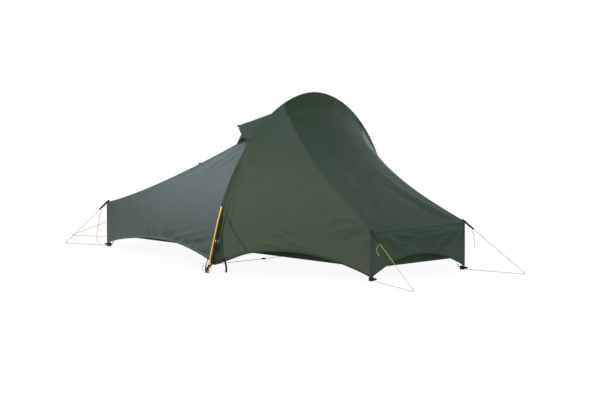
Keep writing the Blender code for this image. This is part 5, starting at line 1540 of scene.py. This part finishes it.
def guyline_route(key):
    """Cord from the corner's foot, round the peg, through the lock to its hanging end."""
    away = line_direction(key)
    centre = corner_line(key, 1) + away * LOCK_DISTANCES[key]
    side_x = CORNERS[key][0]
    foot = corner_plan(key, STRUT_INSET)
    foot += Vector((side_x * (FOOT_SIZE / 2 + GAP), 0.0, LINE_AT_FOOT))
    stub = foot + Vector((side_x * GUYLINE_DIAMETER * 2, 0.0, 0.0))
    flat = Vector((away.x, away.y, 0.0)).normalized()
    side = Vector((-flat.y, flat.x, 0.0))
    bend = GUYLINE_DIAMETER * LINE_BEND
    reach = PEG_DIAMETER / 2 + GUYLINE_DIAMETER / 2 + GAP * 2 - bend
    round_peg = PEG_PLACES[key] + flat * reach
    low = round_peg - side * bend + UP * LINE_AT_FOOT
    high = round_peg + side * bend + UP * PEG_LINE_HEIGHT
    route = [foot, stub] + [lerp(stub, low, share) for share in (0.08, 0.35, 0.65, 0.95)]
    for step in range(5):
        angle = pi * step / 4
        swing = side * -cos(angle) + flat * sin(angle)
        height = lerp(LINE_AT_FOOT, PEG_LINE_HEIGHT, step / 4)
        route.append(round_peg + swing * bend + UP * height)
    lock_end = centre + away * (LOCK_LENGTH / 2)
    route += [lerp(high, lock_end, share) for share in (0.05, 0.35, 0.7, 0.95)]
    inside = centre + away * (LOCK_SLOT_PLACE + LOCK_SLOT / 2 - GUYLINE_DIAMETER / 2)
    down = -away.cross(UP.cross(away).normalized())
    out = inside - away * bend + down * bend
    route += [inside, inside - away * (bend * 0.65) + down * (bend * 0.28), out]
    return route + [out + down * LOCK_HEIGHT * 0.5 + Vector(step) for step in TAIL_ROUTES[key]]


def make_guylines(materials):
    for key, length in GUYLINE_LENGTHS.items():
        points = smooth_route(guyline_route(key), 5)
        line = cord_piece(f"guyline_{key}_cord", points, GUYLINE_DIAMETER, materials["cord"])
        stand_for(f"guyline_{key}")


def make_corner_webbing(materials):
    """Black webbing that takes each guyline's pull at the top of its strut and at its foot."""
    for key, (side_x, side_y) in CORNERS.items():
        top, away = corner_line(key, 1), line_direction(key)
        inward = Vector((-side_x * 0.6, -side_y * 0.1, 0.35)).normalized()
        lock = top + away * (LOCK_DISTANCES[key] - LOCK_LENGTH * 0.4)
        strap_piece(f"corner_webbing_{key}",
                    [top + inward * TAB_SEWN, top + UP * 0.001, lerp(top, lock, 0.5), lock],
                    away.cross(UP).normalized(), TAB_WIDTH, materials["webbing"], TAB_THICKNESS)
        cord_piece(f"corner_cap_{key}", [corner_line(key, 0.97), top + UP * 0.003],
                   CAP_DIAMETER, materials["tape"])
        place = corner_plan(key, STRUT_INSET) + UP * FOOT_WEBBING_HEIGHT
        out = Vector((side_x, 0.0, 0.0))
        strap_piece(f"foot_webbing_{key}", [place + out * (0.009 + k * 0.005) for k in range(6)],
                    UP, FOOT_WEBBING_WIDTH, materials["webbing"], FOOT_WEBBING_THICKNESS)


def make_foot_straps(materials):
    """Doubled webbing from each pole foot up to the hem corner on the door's side."""
    for far, word in LEGS:
        out = Vector((0.0, 1.0 if far else -1.0, 0.0))
        foot = leg_point(far, 0.009) + out * 0.011
        hem = PANELS[wall_key(1, far)]
        route = [foot, foot + Vector((0.01, 0.0, 0.008))]
        route += [hem.at(u, 0.01, lift) for u, lift in FOOT_STRAP_ROUTE]
        strap_piece(f"foot_strap_{word}", smooth_route(route, 6), out, WEBBING_WIDTH,
                    materials["webbing"])


# Stage: floor, lights and camera


def make_stage():
    bpy.ops.mesh.primitive_plane_add(size=FLOOR_SIZE)
    floor = bpy.context.object
    floor.name = "floor"
    look = Look("floor_paper")
    away = look.add("VectorMath", {0: look.place}, operation="LENGTH")["Value"]
    paper = look.ranged(away, PAPER_SHARE, 1.0, SHADOW_NEAR, SHADOW_FAR)
    glow = look.add("Emission", {"Color": WHITE, "Strength": PAPER_GLOW})[0]
    share = look.math("MULTIPLY", look.seen(), paper)
    look.finish("Material Output", share, look.shader.outputs[0], glow)
    floor.data.materials.append(look.painted({
        "Base Color": (0.86, 0.86, 0.86, 1.0), "Roughness": 0.95, "Specular IOR Level": 0.0}))

    world = bpy.data.worlds.new("studio")
    bpy.context.scene.world = world
    world.use_nodes = True
    studio = Nodes(world.node_tree)
    soft = world.node_tree.nodes["Background"]
    soft.inputs["Color"].default_value = SKY
    soft.inputs["Strength"].default_value = SKY_POWER
    white = studio.add("Background", {"Color": WHITE, "Strength": 1.0})[0]
    studio.finish("World Output", studio.seen(), soft.outputs[0], white)

    for name, place, size, power in LAMPS:
        lamp = bpy.data.lights.new(name, "AREA")
        lamp.shape = "DISK"
        lamp.size = size
        lamp.energy = power
        item = bpy.data.objects.new(name, lamp)
        item.location = place
        item.rotation_euler = (LAMP_AIM - Vector(place)).to_track_quat("-Z", "Y").to_euler()
        bpy.context.scene.collection.objects.link(item)


def make_camera():
    """The photograph's view: about 45 degrees round to the right and 5 degrees down."""
    camera = bpy.data.cameras.new("camera")
    camera.lens = CAMERA_LENS
    camera.sensor_width = 36.0
    item = bpy.data.objects.new("camera", camera)
    item.location = CAMERA_PLACE
    item.rotation_euler = (pi / 2 - CAMERA_DOWN, 0.0, CAMERA_TURN)
    bpy.context.scene.collection.objects.link(item)
    bpy.context.scene.camera = item


make_camera()
materials = make_materials()
for make in (make_guylines, make_corner_webbing, make_foot_straps, make_hem_tail, make_sleeve,
             make_fly, make_seams, make_door_pleats, make_painted_ridge_highlight, make_vent, make_vent_net,
             make_inner, make_floor_straps, make_peg_loops, make_pole, dress_hardware):
    make(materials)
make_stage()
bpy.context.scene.view_settings.view_transform = "Standard"
